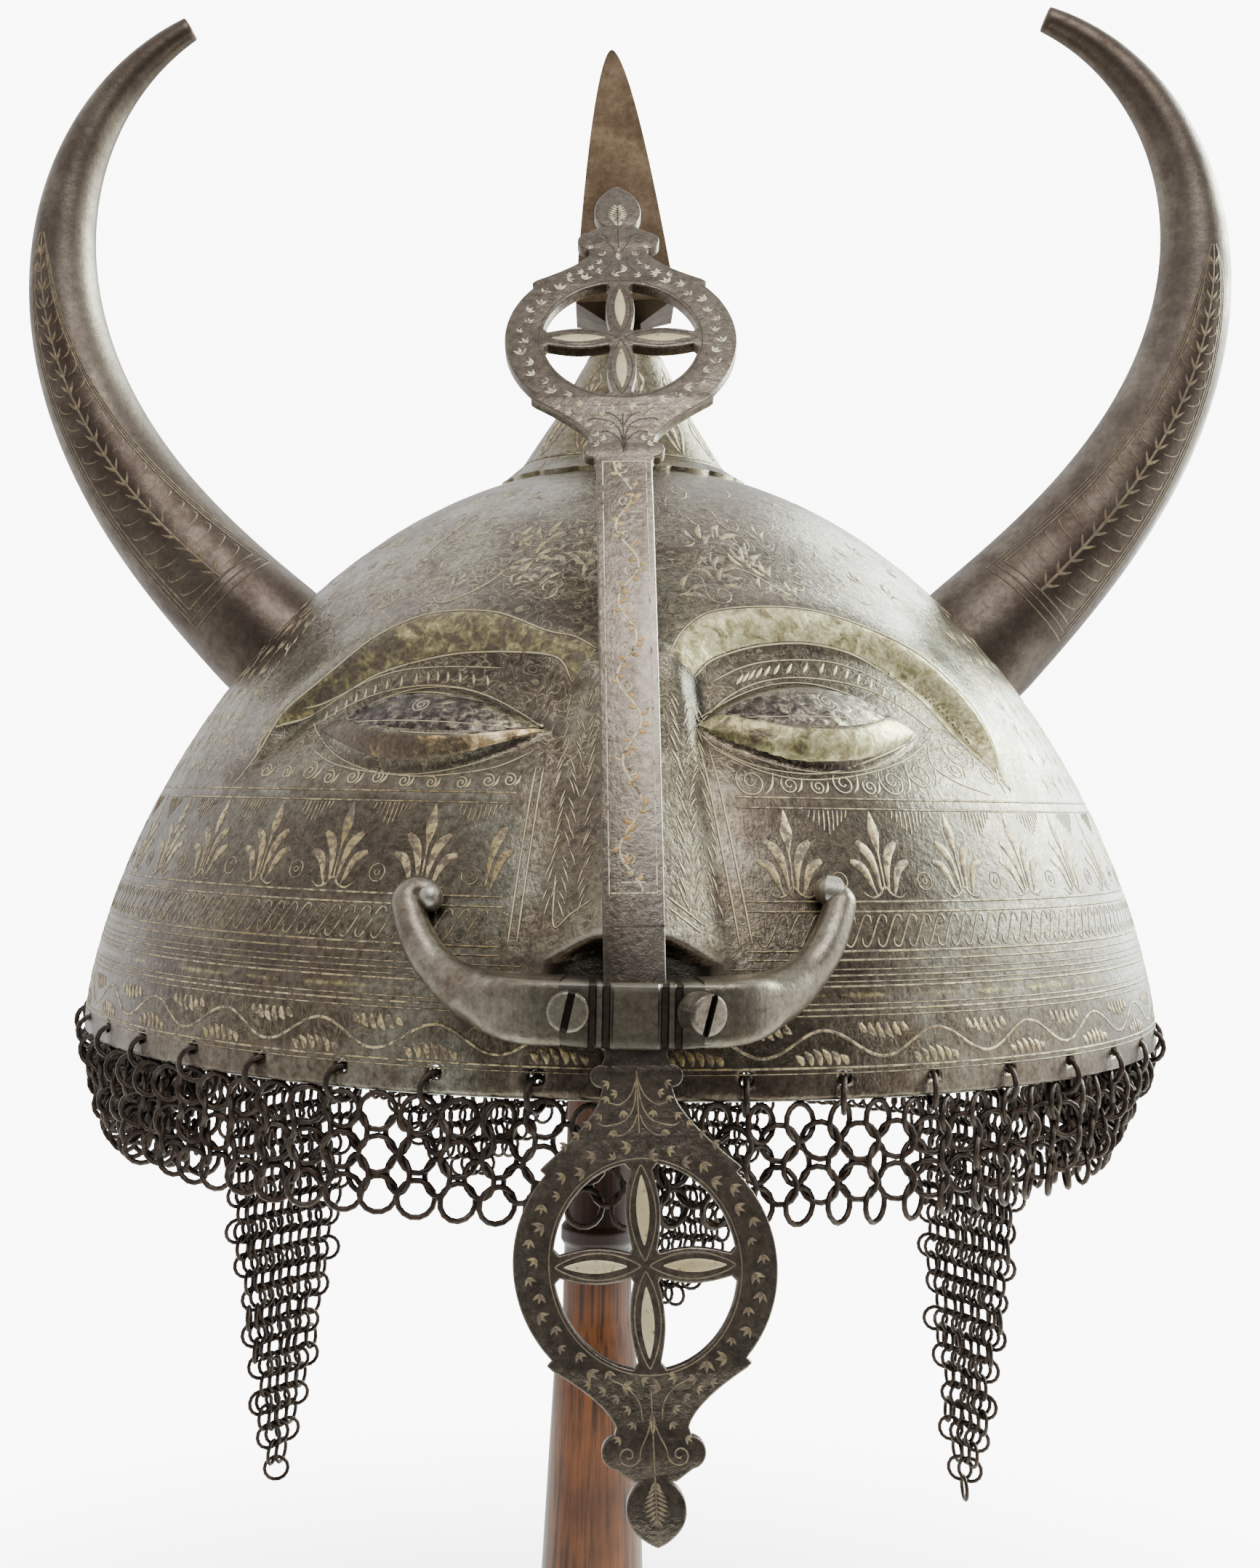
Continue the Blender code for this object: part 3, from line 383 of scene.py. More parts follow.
nose = {"top": 70.0, "edge": 23.1, "wing": 20.3, "rise": 6.4, "halfTop": 8.0, "level": 62.0, "widening": 0.15,
        "flat": 0.25, "drop": 1.4, "wallSlope": 0.9, "soft": 0.7}
browShape = {"middle": 22.0, "base": 50.0, "outer": 24.3, "inner": 21.5, "lidOuter": 22.4, "lidInner": 17.4,
             "ridge": 1.2, "socket": 2.2, "socketFloor": 46.0, "socketFull": 60.0}
faceSides = {
    "left": {"way": -1, "eye": 24.2, "eyeHeight": 56.0, "eyeHalf": 14.7, "eyeTall": 7.2, "brow": 25.0,
             "lid": 18.4, "roundness": 2.1, "ball": (22.05, 57.2, 12.4, 4.0)},
    "right": {"way": 1, "eye": 20.9, "eyeHeight": 57.7, "eyeHalf": 14.4, "eyeTall": 7.3, "brow": 26.6,
              "lid": 20.7, "roundness": 2.5, "ball": (20.35, 59.0, 10.6, 3.6)}}
eyeBulge = {"height": 5.0, "lidStep": 0.55}


def noseRelief(phi, z):
    # A ridge that falls off in a straight slope on both sides, and steeply into the sockets
    x = np.abs(np.radians(phi)) * bowlRadius(z)
    half = nose["halfTop"] + (nose["level"] - z) * nose["widening"]
    height = nose["rise"] * (np.clip((nose["top"] - np.maximum(z, nose["edge"])) / (nose["top"] - nose["edge"]), 0,
                                     1)) ** 0.8
    height = height * np.minimum((1 - x / half) / (1 - nose["flat"]), 1.0)
    edge = nose["edge"] + (nose["wing"] - nose["edge"]) * smoothStep(0.3, 1.0, x / half)
    height = height * smoothStep(edge - nose["drop"], edge, z)
    beyond = np.where(x < half, height, -(x - half) * nose["wallSlope"])
    return beyond - np.maximum(z - nose["top"], 0.0)


def arch(phi, z, side, outer, inner, rise):
    # 1 on a rounded arch over the eye: (|a| ^ n + |b| ^ n) ^ (1 / n)
    across = phi * side["way"] - browShape["middle"]
    a = np.abs(across / np.where(across > 0, outer, inner))
    b = np.abs(z - browShape["base"]) / rise
    return (a ** side["roundness"] + b ** side["roundness"]) ** (1 / side["roundness"])


def browRelief(phi, z, side):
    # A low ridge outside the brow's upper edge, and a smooth fall to the socket inside it
    upper = arch(phi, z, side, browShape["outer"], browShape["inner"], side["brow"])
    lower = arch(phi, z, side, browShape["lidOuter"], browShape["lidInner"], side["lid"])
    fade = smoothStep(browShape["socketFloor"], browShape["socketFull"], z)
    ridge = browShape["ridge"] * fade
    depth = browShape["socket"] * fade
    share = (1 - upper) / np.maximum(lower - upper, 1e-6)
    slope = ridge - (ridge + depth) * smoothStep(0.0, 1.0, share)
    return np.where(upper >= 1, ridge * np.exp(-((upper - 1) / 0.2) ** 2), np.where(lower >= 1, slope, -depth))


def eyeRelief(phi, z, side):
    # A lens with pointed corners: height * (1 - a^2)^0.9 * (1 - b^2)^0.8, less a step at the ball
    a = (phi * side["way"] - side["eye"]) / side["eyeHalf"]
    b = (z - side["eyeHeight"]) / (side["eyeTall"] * np.maximum(1 - a * a, 1e-4))
    inside = (np.abs(a) < 1) & (np.abs(b) < 1)
    swell = eyeBulge["height"] * np.maximum(1 - a * a, 0) ** 0.9 * np.maximum(1 - b * b, 0) ** 0.8
    middle, height, half, tall = side["ball"]
    c = (phi * side["way"] - middle) / half
    d = (z - height) / (tall * np.maximum(1 - c * c, 1e-4))
    step = eyeBulge["lidStep"] * smoothStep(1.12, 0.98, np.abs(d)) * (np.abs(c) < 1)
    return np.where(inside, swell - step * np.minimum(swell, 1.0), 0.0)


def relief(phi, z):
    # The higher of the nose and the brow with its eye, run together: (a + b + sqrt((a - b)^2 + soft^2)) / 2
    left, right = faceSides["left"], faceSides["right"]
    face = np.where(phi < 0, browRelief(phi, z, left) + eyeRelief(phi, z, left),
                    browRelief(phi, z, right) + eyeRelief(phi, z, right))
    ridge = noseRelief(phi, z)
    return (ridge + face + np.sqrt((ridge - face) ** 2 + nose["soft"] ** 2)) / 2


rimHoles = {"count": 42, "phase": 1.0, "height": 3.5, "radius": 1.1, "step": 0.8}
holeAngles = rimHoles["phase"] + 360 / rimHoles["count"] * np.arange(-21, 21)
bowlMesh = {"faceFrom": -60.0, "faceTo": 53.0, "faceCells": 16, "backCells": 5, "rimRows": [0.0, 0.35, 1.0],
            "holeRows": [1.9, 2.7, 3.5, 4.3, 5.1], "faceRows": [(5.1, 19.8, 8), (19.8, 24.6, 13), (24.6, 80.0, 84)],
            "crownRows": 24, "insideRows": (78.0, 7.0, 20), "rimShare": 0.75, "rimSecond": 0.12}


def bowlColumns():
    # Round each rim hole five columns a hole step apart, then even columns up to the next hole
    pitch = 360 / rimHoles["count"]
    stepAngle = rimHoles["step"] / (bowl["radius"] * math.pi / 180)
    angles, firsts = [], []
    for hole in holeAngles:
        cells = bowlMesh["faceCells"] if bowlMesh["faceFrom"] < hole < bowlMesh["faceTo"] else bowlMesh["backCells"]
        block = hole + stepAngle * np.arange(-2, 3)
        firsts.append(sum(len(a) for a in angles))
        angles += [block, np.linspace(block[-1], block[0] + pitch, cells + 1)[1:-1]]
    return np.concatenate(angles), np.array(firsts)


def bowlShell():
    # onBowl of the relief, less the wall inside. Rows run from the crown inside down to the rim, where two
    # rows are set back to round it, and up the outside; each hole's block gives way to a ring and a collar
    angles, firsts = bowlColumns()
    holes = bowlMesh["holeRows"]
    face = np.concatenate([np.linspace(*rows)[1:] for rows in bowlMesh["faceRows"]])
    shoulder, steps = float(bowlRadius(face[-1])), bowlMesh["crownRows"]
    crown = bowlHeight(shoulder * (1 - np.arange(1, steps) / steps))
    outside = np.concatenate([bowlMesh["rimRows"], holes, face, crown])
    inside = np.concatenate([crown[::-2], np.linspace(*bowlMesh["insideRows"]), holes[::-1], bowlMesh["rimRows"][-1:]])
    heights = np.concatenate([inside, outside])
    depth = np.concatenate([np.full(len(inside), bowl["wall"]), np.zeros(len(outside))])
    phi, z = np.meshgrid(angles, heights)
    raised = relief(phi, z)
    lift = raised - depth[:, None]
    edge = len(inside)
    lift[edge] = -bowl["wall"] * bowlMesh["rimShare"]
    lift[edge + 1] = -bowlMesh["rimSecond"]
    points = onBowl(phi, z, lift)
    rows, columns = phi.shape
    flat = points.reshape(-1, 3)
    cells = gridFaces(rows, columns, closed=True).reshape(rows - 1, columns, 4)
    keep = np.ones((rows - 1, columns), bool)
    outerHole = edge + 3
    innerHole = edge - 6
    ringRow = np.array([0, 0, 0, 0, 0, 1, 2, 3, 4, 4, 4, 4, 4, 3, 2, 1])
    ringColumn = np.array([0, 1, 2, 3, 4, 4, 4, 4, 4, 3, 2, 1, 0, 0, 0, 0])
    blockColumns = firsts[:, None] + np.arange(4)
    for row in range(4):
        keep[outerHole + row, blockColumns] = False
        keep[innerHole + row, blockColumns] = False
    outerRing = (outerHole + ringRow) * columns + firsts[:, None] + ringColumn
    innerRing = (innerHole + 4 - ringRow) * columns + firsts[:, None] + ringColumn
    bearing = np.arctan2(ringRow - 2.0, ringColumn - 2.0)
    holePhi = holeAngles[:, None] + np.degrees(rimHoles["radius"] * np.cos(bearing) / bowl["radius"])
    holeZ = np.broadcast_to(rimHoles["height"] + rimHoles["radius"] * np.sin(bearing), holePhi.shape)
    lips = [onBowl(holePhi, holeZ, np.full(holePhi.shape, d)).reshape(-1, 3) for d in (0.0, -bowl["wall"])]
    count = len(flat)
    tips = np.array([[0, 0, bowl["height"] - bowl["wall"]], [0, 0, bowl["height"]]])
    outerLip = count + np.arange(holePhi.size).reshape(holePhi.shape)
    innerLip = outerLip + holePhi.size
    after = lambda ring: np.roll(ring, -1, axis=1)
    collar = [join(a, after(a), after(b), b).reshape(-1, 4)
              for a, b in ((outerRing, outerLip), (outerLip, innerLip), (innerLip, innerRing))]
    first = np.arange(columns)
    ends = [fan(first, count + 2 * holePhi.size, upwards=False),
            fan(first + (rows - 1) * columns, count + 2 * holePhi.size + 1)]
    faces = [cells[keep]] + collar + ends
    piece = makeMesh("bowlShell", np.concatenate([flat, *lips, tips]), faces, bowlSteel)
    paintWearAndShade(piece, phi, z, raised, edge, len(piece.data.vertices))
    dress(piece, "helmet", "bowl_steel", "bowl")


def paintLayer(piece, name, values):
    # Puts one number a vertex, or red, green and blue as three, where the materials read them
    values = np.asarray(values, np.float32)
    if values.ndim == 1:
        piece.data.attributes.new(name, "FLOAT", "POINT").data.foreach_set("value", values)
    else:
        colours = np.concatenate([values, np.ones((len(values), 1), np.float32)], 1)
        piece.data.attributes.new(name, "FLOAT_COLOR", "POINT").data.foreach_set("color", colours.ravel())


def band(value, low, high, edge):
    # 1 between low and high, run down to 0 over the edge on both sides
    return smoothStep(low - edge, low + edge, value) * smoothStep(high + edge, high - edge, value)


# Painted bands of the bowl, each from a height to a height with a soft edge and a share
bowlDirtAndShade = {"besideNose": [(28.6, 44.6, 0.5, 0.42), (21.4, 27.8, 0.4, 0.32), (45.8, 52.0, 2.0, 0.26)],
            "allRound": [(16.6, 20.4, 0.4, 0.22), (5.4, 11.6, 0.4, 0.24)],
            "scrolls": [(21.6, 27.6, 0.4, 0.5), (5.4, 11.6, 0.4, 0.5), (29.0, 43.0, 1.0, 0.3)],
            # barShadow paints the bar's shadow beside it; socket paints shade deep in the eye sockets; hollow paints
            # dirt and shade in the creases
            "brows": 0.12, "crown": 0.2, "barShadow": 0.75, "socket": 0.18, "hollow": 0.12, "ridge": 0.3,
            "gilt": 0.85, "crownScrolls": 0.9, "inside": 0.5}


def paintWearAndShade(piece, phi, z, raised, edge, total):
    # Red is gilding; green is dirt in the bands' grounds, dirt and painted shade in the hollows and under the
    # nose, painted shade in the sockets and a painted shadow by the bar; blue is rubbed steel on the ridges;
    # the hollow is how far a point lies under the mean of its neighbours
    around = (np.roll(raised, 3, 1) + np.roll(raised, -3, 1) + np.roll(raised, 3, 0) + np.roll(raised, -3, 0)) / 4
    hollow = np.clip((around - raised) / 0.5, -1, 1)
    beside = smoothStep(9.5, 12.0, np.abs(phi))
    painted = lambda kind: sum(share * band(z, low, high, soft) for low, high, soft, share in bowlDirtAndShade[kind])
    # The grounds' dirt, the brows and the crown's front darker, and a painted shadow beside the bar
    ground = (painted("besideNose") * beside + painted("allRound")
              + bowlDirtAndShade["brows"] * band(z, 47, 78, 4) * smoothStep(58, 44, np.abs(phi)) * beside
              + bowlDirtAndShade["crown"] * smoothStep(34, 8, np.abs(phi + 6)) * band(z, 74, 108, 5)
              + bowlDirtAndShade["barShadow"] * band(phi, 4.6, 8.2, 0.8) * band(z, 55, 69, 3))
    across = np.abs(np.radians(phi)) * bowlRadius(z)
    # Painted shade, with dirt, under the nose's lower edge
    under = smoothStep(0.8, 0.38, raised) * band(z, 17.0, nose["edge"] + 0.3, 1.0) * smoothStep(13.2, 11.6, across)
    # Painted shade deep in the eye sockets
    socket = bowlDirtAndShade["socket"] * smoothStep(-1.2, -2.1, raised) * (z > 50)
    wearShadeAndHighlight = np.zeros((total, 3), np.float32)
    tracery = np.zeros(total, np.float32)
    block = wearShadeAndHighlight[:phi.size]
    block[:, 0] = (bowlDirtAndShade["gilt"] * band(z, 14.9, 16.0, 0.25)).ravel()
    # Dirt with painted shade in the hollows, added to the rest
    block[:, 1] = np.clip(ground + under + socket + np.clip(hollow, 0, 1) * bowlDirtAndShade["hollow"], 0, 1).ravel()
    block[:, 2] = (np.clip(-hollow, 0, 1) * bowlDirtAndShade["ridge"]).ravel()
    first = edge * phi.shape[1]
    block[:first] = (0, bowlDirtAndShade["inside"], 0)
    fields = bowlDirtAndShade["crownScrolls"] * smoothStep(46, 50, z) + painted("scrolls")
    tracery[first:phi.size] = fields.ravel()[first:]
    paintLayer(piece, "wearShadeAndHighlight", wearShadeAndHighlight)
    paintLayer(piece, "tracery", tracery)


bowlShell()


# Ornament: strokes laid on a surface as low ribbons

def through(points, count):
    # Catmull-Rom curve through the points, read at even steps
    p = np.asarray(points, float)
    p = np.concatenate([2 * p[:1] - p[1:2], p, 2 * p[-1:] - p[-2:-1]])
    t = np.linspace(0, len(p) - 3, count)
    i = np.minimum(t.astype(int), len(p) - 4)
    f = (t - i)[:, None]
    a, b, c, d = p[i], p[i + 1], p[i + 2], p[i + 3]
    return 0.5 * (2 * b + (c - a) * f + (2 * a - 5 * b + 4 * c - d) * f ** 2 + (3 * b - a - 3 * c + d) * f ** 3)


def taper(count, low, high, start=0.0, end=0.0):
    # A stroke's width: low to high along it, run down to nothing over the start and end shares
    t = np.linspace(0, 1, count)
    width = low + (high - low) * t
    if start:
        width = width * np.sqrt(np.clip(t / start, 0.02, 1))
    if end:
        width = width * np.sqrt(np.clip((1 - t) / end, 0.02, 1))
    return width


def mirrored(strokes):
    # Each stroke and its mirror image in the first coordinate
    return strokes + [(join(-p[:, 0], p[:, 1]), w) for p, w in strokes]


def stackStrokes(strokes):
    return np.array([p for p, w in strokes]), np.array([w for p, w in strokes])


def placeMotif(strokes, widths, places, chart):
    # Copies a motif in millimetres to each (along, height) of the chart: along + u / (mm per unit)
    k = len(places)
    v = strokes[None, ..., 1] + places[:, None, None, 1]
    u = places[:, None, None, 0] + strokes[None, ..., 0] / chart["scale"](v)
    points = join(u, v).reshape(-1, *strokes.shape[1:])
    return points, np.tile(widths, (k, 1))


def ribbons(name, families, chart, lift, grow, material):
    # Each stroke becomes four lines across its width: the outer two lie under the surface, the inner
    # two just above it, at +- half the width along the normal of the stroke's tangent
    blocks, faces, start = [], [], 0
    across = np.array([1.0, 0.8, -0.8, -1.0])
    lifts = np.array([-0.05, lift, lift, -0.05])
    for strokes, widths in families:
        scale = chart["scale"](strokes[..., 1])
        rise = chart["rise"](strokes[..., 1])
        du = np.gradient(strokes[..., 0], axis=1) * scale
        dv = np.gradient(strokes[..., 1], axis=1) * rise
        length = np.maximum(np.hypot(du, dv), 1e-9)
        half = (widths + grow) / 2
        u = strokes[..., 0, None] + (-dv / length / scale * half)[..., None] * across
        v = strokes[..., 1, None] + (du / length / rise * half)[..., None] * across
        points = chart["place"](u, v, np.broadcast_to(lifts, u.shape))
        k, n = strokes.shape[:2]
        faces.append(copies(gridFaces(n, 4), k, n * 4) + start)
        blocks.append(points.reshape(-1, 3))
        start += k * n * 4
    piece = makeMesh(name, np.concatenate(blocks), faces, material)
    dress(piece, chart["body"], chart["slot"])


bowlChart = {"body": "helmet", "slot": "bowl_steel",
             "place": lambda u, v, lift: onBowl(u, v, relief(u, v) + lift),
             "scale": lambda v: bowlRadius(v) * math.pi / 180,
             "rise": lambda v: 1 / np.cos(bowlTilt(v))}


leafWidths = np.array([0.3, 0.9, 1.0, 0.6, 0.1])
petalWidths = np.array([0.2, 0.8, 1.0, 0.7, 0.1])


def oneStroke(u, v, width):
    # A family of one stroke through (u, v); the width is one number or one for each point
    u, v, width = np.broadcast_arrays(u, v, width)
    return join(u, v)[None], width[None]


def bandLine(z, start, end, width, count=360):
    # A level line round the axis
    return oneStroke(np.linspace(start, end, count), z, width)


def pathLine(points, width, count=40, start=0.06, end=0.06):
    # A family of one smooth stroke through the points, thin at both ends
    return through(points, count)[None], taper(count, width, width, start, end)[None]


palmette = {"pitch": 9.308, "first": -10.2, "last": 14.7, "foot": 30.0}


def clubStroke(points, width, count=12):
    # A petal: a thin tail over the first half that swells to a round head
    t = np.linspace(0, 1, count)
    return through(points, count), width * np.interp(t, [0, 0.3, 0.66, 0.86, 1], [0.16, 0.42, 0.92, 1.0, 0.45])


def palmetteMotif(count=12):
    # A pointed middle petal on a thin stem between two pairs of club petals whose tails meet at the foot
    petal = np.interp(np.linspace(0, 1, count), [0, 0.45, 0.58, 0.72, 0.88, 1], [0.3, 0.34, 1.4, 2.4, 1.3, 0.12])
    strokes = mirrored([clubStroke([(0.7, 0.8), (0.85, 2.8), (1.2, 5.0), (2.0, 7.1), (3.6, 8.7)], 1.9),
                        clubStroke([(1.5, 0.3), (2.1, 1.6), (2.6, 3.2), (3.5, 4.8), (5.3, 5.7)], 1.75),
                        (through([(0.2, 1.8), (1.1, 0.6), (2.6, 0.1), (4.0, 0.9)], count),
                         taper(count, 0.45, 0.3, 0.1, 0.3))])
    return stackStrokes([(through([(0, 1.4), (0, 13.5)], count), petal)] + strokes)


def tickMotif():
    # Short strokes that hang from a line, longest in the middle
    offsets = np.linspace(-3.2, 3.2, 9)
    drops = 0.9 + 2.8 * (1 - np.abs(offsets) / 3.4)
    return stackStrokes([(np.array([(x + 0.15, 0.0), (x, -d / 2), (x - 0.25, -d)]), taper(3, 0.26, 0.2))
                         for x, d in zip(offsets, drops)])


def roundelMotif(radius, count=20):
    # A circle, (radius cos, radius sin), and a small one inside it
    turn = np.linspace(0, 2 * math.pi, count)
    ring = join(radius * np.cos(turn), radius * np.sin(turn))
    return stackStrokes([(ring, np.full(count, 0.2)), (ring * 0.3, np.full(count, 0.16))])


def hookMotif(count=16):
    # A leaning S with a hook at both ends
    path = [(-2.3, 1.5), (-2.35, 0.5), (-1.6, 0.1), (-0.9, 0.9), (0.0, 2.5), (0.9, 4.1), (1.6, 4.9), (2.35, 4.5),
            (2.3, 3.5)]
    return stackStrokes([(through(path, count), taper(count, 0.26, 0.26, 0.08, 0.08))])


def commaMotif(way, count=6):
    # Leaning comma leaves in a row on a line, the middle ones longest; way -1 hangs them
    strokes = []
    lens = np.interp(np.linspace(0, 1, 6), [0, 0.3, 0.65, 1], [0.5, 1.0, 1.3, 0.2])
    for k in range(count):
        x, h = -3.7 + 1.45 * k, way * (1.0 + 1.4 * math.sin(math.pi * (k + 0.7) / (count + 0.4)))
        strokes.append((through([(x, 0), (x - 0.15 * way, 0.5 * h), (x - way * 1.1, h)], 6), lens))
    return stackStrokes(strokes)


def spiralStroke(x, z, radius, turns, start, way=1, width=0.3, count=30):
    # A spiral that closes in: the radius falls evenly with the angle
    t = np.linspace(0, 1, count)
    angle = math.radians(start) + way * 2 * math.pi * turns * t
    reach = radius * (1 - 0.85 * t)
    return join(x + reach * np.cos(angle), z + reach * np.sin(angle)), taper(count, width, width, 0.05, 0.1)


def scatter(strokes, widths, spots, chart, groups=7):
    # Copies a motif to the spots in groups, each group turned and scaled by its own random amount
    families = []
    for k in range(groups):
        angle, size = chance.uniform(-0.9, 0.9), chance.uniform(0.75, 1.2)
        turned = strokes @ (size * np.array([[math.cos(angle), math.sin(angle)], [-math.sin(angle), math.cos(angle)]]))
        families.append(placeMotif(turned, widths, spots[k::groups], chart))
    return families


ruledLines = [(10.0, 348.5, [(45.4, 0.34), (43.8, 0.32), (29.5, 0.36), (28.0, 0.32), (22.1, 0.36), (20.8, 0.3)]),
              (8.4, 351.2, [(19.4, 0.16), (18.5, 0.26), (17.6, 0.16), (16.9, 0.34)]),
              (-180, 180, [(14.3, 0.2), (13.5, 0.34), (12.6, 0.2), (5.0, 0.36), (4.2, 0.16)])]


bands = {"tickHeight": 43.5, "roundelHeight": 32.6, "roundel": 1.35, "noseGap": 11.5, "hooks": 208, "hookHeight": 22.6,
         "hookFrom": 12.5, "hookTurn": 335.0, "waves": 33, "waveHeight": 8.5, "waveSwing": 2.0, "leafFoot": 5.4,
         "leafTop": 11.5}


def bowlOrnament():
    # The bands of palmettes, ticks, roundels, hooks and the leafy wave, each motif placed round the bowl
    fine, filled = [], []
    foot = palmette["foot"]
    right = np.arange(0, 19) * palmette["pitch"] + palmette["last"]
    left = palmette["first"] - np.arange(0, 18) * palmette["pitch"]
    filled.append(placeMotif(*palmetteMotif(), join(np.concatenate([right, left[1:]]), foot), bowlChart))
    half = palmetteMotif()
    filled.append(placeMotif(half[0][1:3] * (0.8, 1.15), half[1][1:3], join(left[:1] - 3.4, foot), bowlChart))
    between = np.concatenate([right - palmette["pitch"] / 2, left - palmette["pitch"] / 2])
    between = between[np.abs(between) > bands["noseGap"]]
    fine.append(placeMotif(*tickMotif(), join(between, bands["tickHeight"]), bowlChart))
    fine.append(placeMotif(*roundelMotif(bands["roundel"]), join(between, bands["roundelHeight"]), bowlChart))
    for start, end, rows in ruledLines:
        fine += [bandLine(z, start, end, width) for z, width in rows]
    hooks = bands["hookFrom"] + np.arange(bands["hooks"]) * bands["hookTurn"] / bands["hooks"]
    fine.append(placeMotif(*hookMotif(), join(hooks, bands["hookHeight"]), bowlChart))
    turns = bands["waves"]
    phi = np.linspace(-180, 180, turns * 20 + 1)
    fine.append(oneStroke(phi, bands["waveHeight"] - bands["waveSwing"] * np.cos(np.radians(phi) * turns), 0.5))
    crests = -180 + 360 / turns * np.arange(turns)
    filled.append(placeMotif(*commaMotif(1), join(crests, bands["leafFoot"]), bowlChart))
    filled.append(placeMotif(*commaMotif(-1), join(crests + 180 / turns, bands["leafTop"]), bowlChart))
    lines, strokes = faceLines()
    ribbons("bowlEngraving", fine + filled + lines + strokes, bowlChart, 0.03, 0.16, engraved)
    ribbons("bowlInlay", fine + filled, bowlChart, 0.06, -0.02, gold)
    ribbons("faceInlay", lines + strokes, bowlChart, 0.07, -0.04, paleGold)
    ribbons("crownInlay", crownScrolls() + sideLeaves(), bowlChart, 0.04, 0.0, faintGold)


faceDrawing = {
    "outlines": [[(-48.2, 45.7), (-46.2, 50.7), (-44.3, 59), (-38.3, 67.7), (-33.6, 72.3), (-27.7, 74.9),
                  (-18.6, 74.7), (-10.8, 71.3), (-7.4, 70.4), (-4.3, 68.2)],
                 [(4.1, 67.5), (6, 71.7), (9.8, 75.2), (17.1, 76.6), (24.7, 76.6), (32.9, 74.4), (40.2, 70.3),
                  (44.3, 64.5), (46, 58.6), (46.1, 47.2)],
                 [(-46.2, 50.7), (-45.7, 54.8), (-40.4, 60.8), (-34.4, 66.2), (-25.4, 69.2), (-17, 69.5),
                  (-9.6, 67.6), (-7.1, 63.6)],
                 [(7.1, 65.4), (10.2, 68.9), (16.7, 71.6), (24.9, 72.2), (32.4, 70.3), (38.6, 64.9), (42.3, 57.2),
                  (46.1, 47.2)]],
    "thin": [[(-43, 59.5), (-38.0, 63.4), (-34.5, 65.7), (-30.2, 67.1), (-23.8, 67.5), (-16.3, 67.2)],
             [(-41.5, 56.5), (-36.5, 60.9), (-31.8, 63.2), (-26.2, 64.2), (-21.1, 63.7), (-16.5, 62.0)],
             [(-38.5, 56.4), (-34.4, 59.9), (-29.9, 61.1), (-22.9, 61.4), (-17.2, 60.6)],
             [(-41.0, 57.8), (-39.3, 55.9), (-37.0, 54.2)],
             [(-38.2, 52.6), (-33, 49.6), (-26, 48.1), (-20.8, 47.9), (-14.5, 49.4), (-10.4, 52.6)],
             [(9.0, 65.0), (13.6, 68.0), (18.5, 69.5), (25.7, 69.9), (30.7, 68.6), (34.7, 66.0)],
             [(6.4, 56.3), (10.0, 61.6), (13.8, 64.7), (17.7, 66.2), (22.1, 66.7), (28.2, 66.0), (32.8, 64.2),
              (36.1, 61.4), (38.6, 58.4)],
             [(7.0, 56.6), (9.1, 53.4), (12.8, 50.6), (18.1, 49.4), (22.9, 50.4), (29.0, 53.2), (37.3, 58.2)],
             [(8.0, 54.0), (12.9, 49.9), (17.9, 48.4), (24.5, 49.5), (31.5, 52.6), (37.9, 57.4)],
             [(37.3, 58.1), (40.8, 58.7), (43.0, 56.9), (44.6, 51.8), (44.9, 46.8)],
             [(36.5, 56.2), (35.0, 51.8), (37.2, 48.7), (41.8, 46.5)], [(41.2, 60.2), (43.6, 58), (45.4, 52.5)],
             [(-6.9, 33.0), (-6.7, 25.2), (-5.2, 26.6), (-3.4, 28.3)], [(2.9, 28.7), (6.1, 25.5)],
             [(2.9, 27.2), (5.8, 24.3)], [(-37.4, 94.9), (-39.1, 90.2), (-39.2, 87.2)],
             [(15.4, 84.9), (18.6, 83.7), (21.9, 80.2)],
             [(-30.3, 78.5), (-28.3, 77.0), (-26.1, 77.4), (-22.8, 80.3), (-20.4, 83.8)],
             [(24.1, 81.3), (25.3, 80.5), (26.5, 81.5), (25.5, 82.4)]],
    "frames": [[(6.9, 54.9), (9.4, 22.5)], [(8.0, 53.7), (10.5, 22.9)], [(-9.9, 49.9), (-10.7, 21.9)],
               [(-9.1, 49.9), (-9.9, 22.7)]],
    "curls": [(-43.4, 48.4, 1.0), (-39.9, 48.2, 0.9), (-36.4, 48.4, 1.4), (-33.3, 47.4, 1.0), (-30.2, 47.5, 1.1),
              (-27.1, 47.6, 1.0), (-23.8, 47.0, 0.9), (-20.7, 46.8, 0.8), (-17.4, 46.8, 0.8), (-14.6, 47.2, 0.9),
              (-12.4, 47.4, 0.9), (11.9, 47.9, 1.9), (15.9, 47.5, 1.1), (19.0, 47.2, 0.9), (22.0, 47.9, 1.4),
              (25.0, 47.4, 1.0), (28.1, 48.4, 1.9), (32.3, 49.9, 2.0), (40.3, 54.2, 2.3), (43.6, 50.0, 1.3),
              (38.2, 50.8, 1.2)],
    "lashWidths": np.array([[0.2, 0.8, 1.0, 0.7, 0.15]]), "leafWidths": np.array([[0.2, 0.7, 1.0, 0.9, 0.5, 0.1]]),
    "scratches": [(4.4, -0.9), (5.9, 1.0), (7.3, -0.7)],
    "lashes": [[(-39.5, 59.0), (-36.2, 61.9), (-32.7, 64.1), (-27.3, 65.7), (-23.2, 65.7), (-18.0, 65.0)],
               [(13.0, 65.8), (15.5, 67.0), (19.3, 68.0), (25.8, 68.4), (30.4, 66.8), (35.0, 63.8)]]}


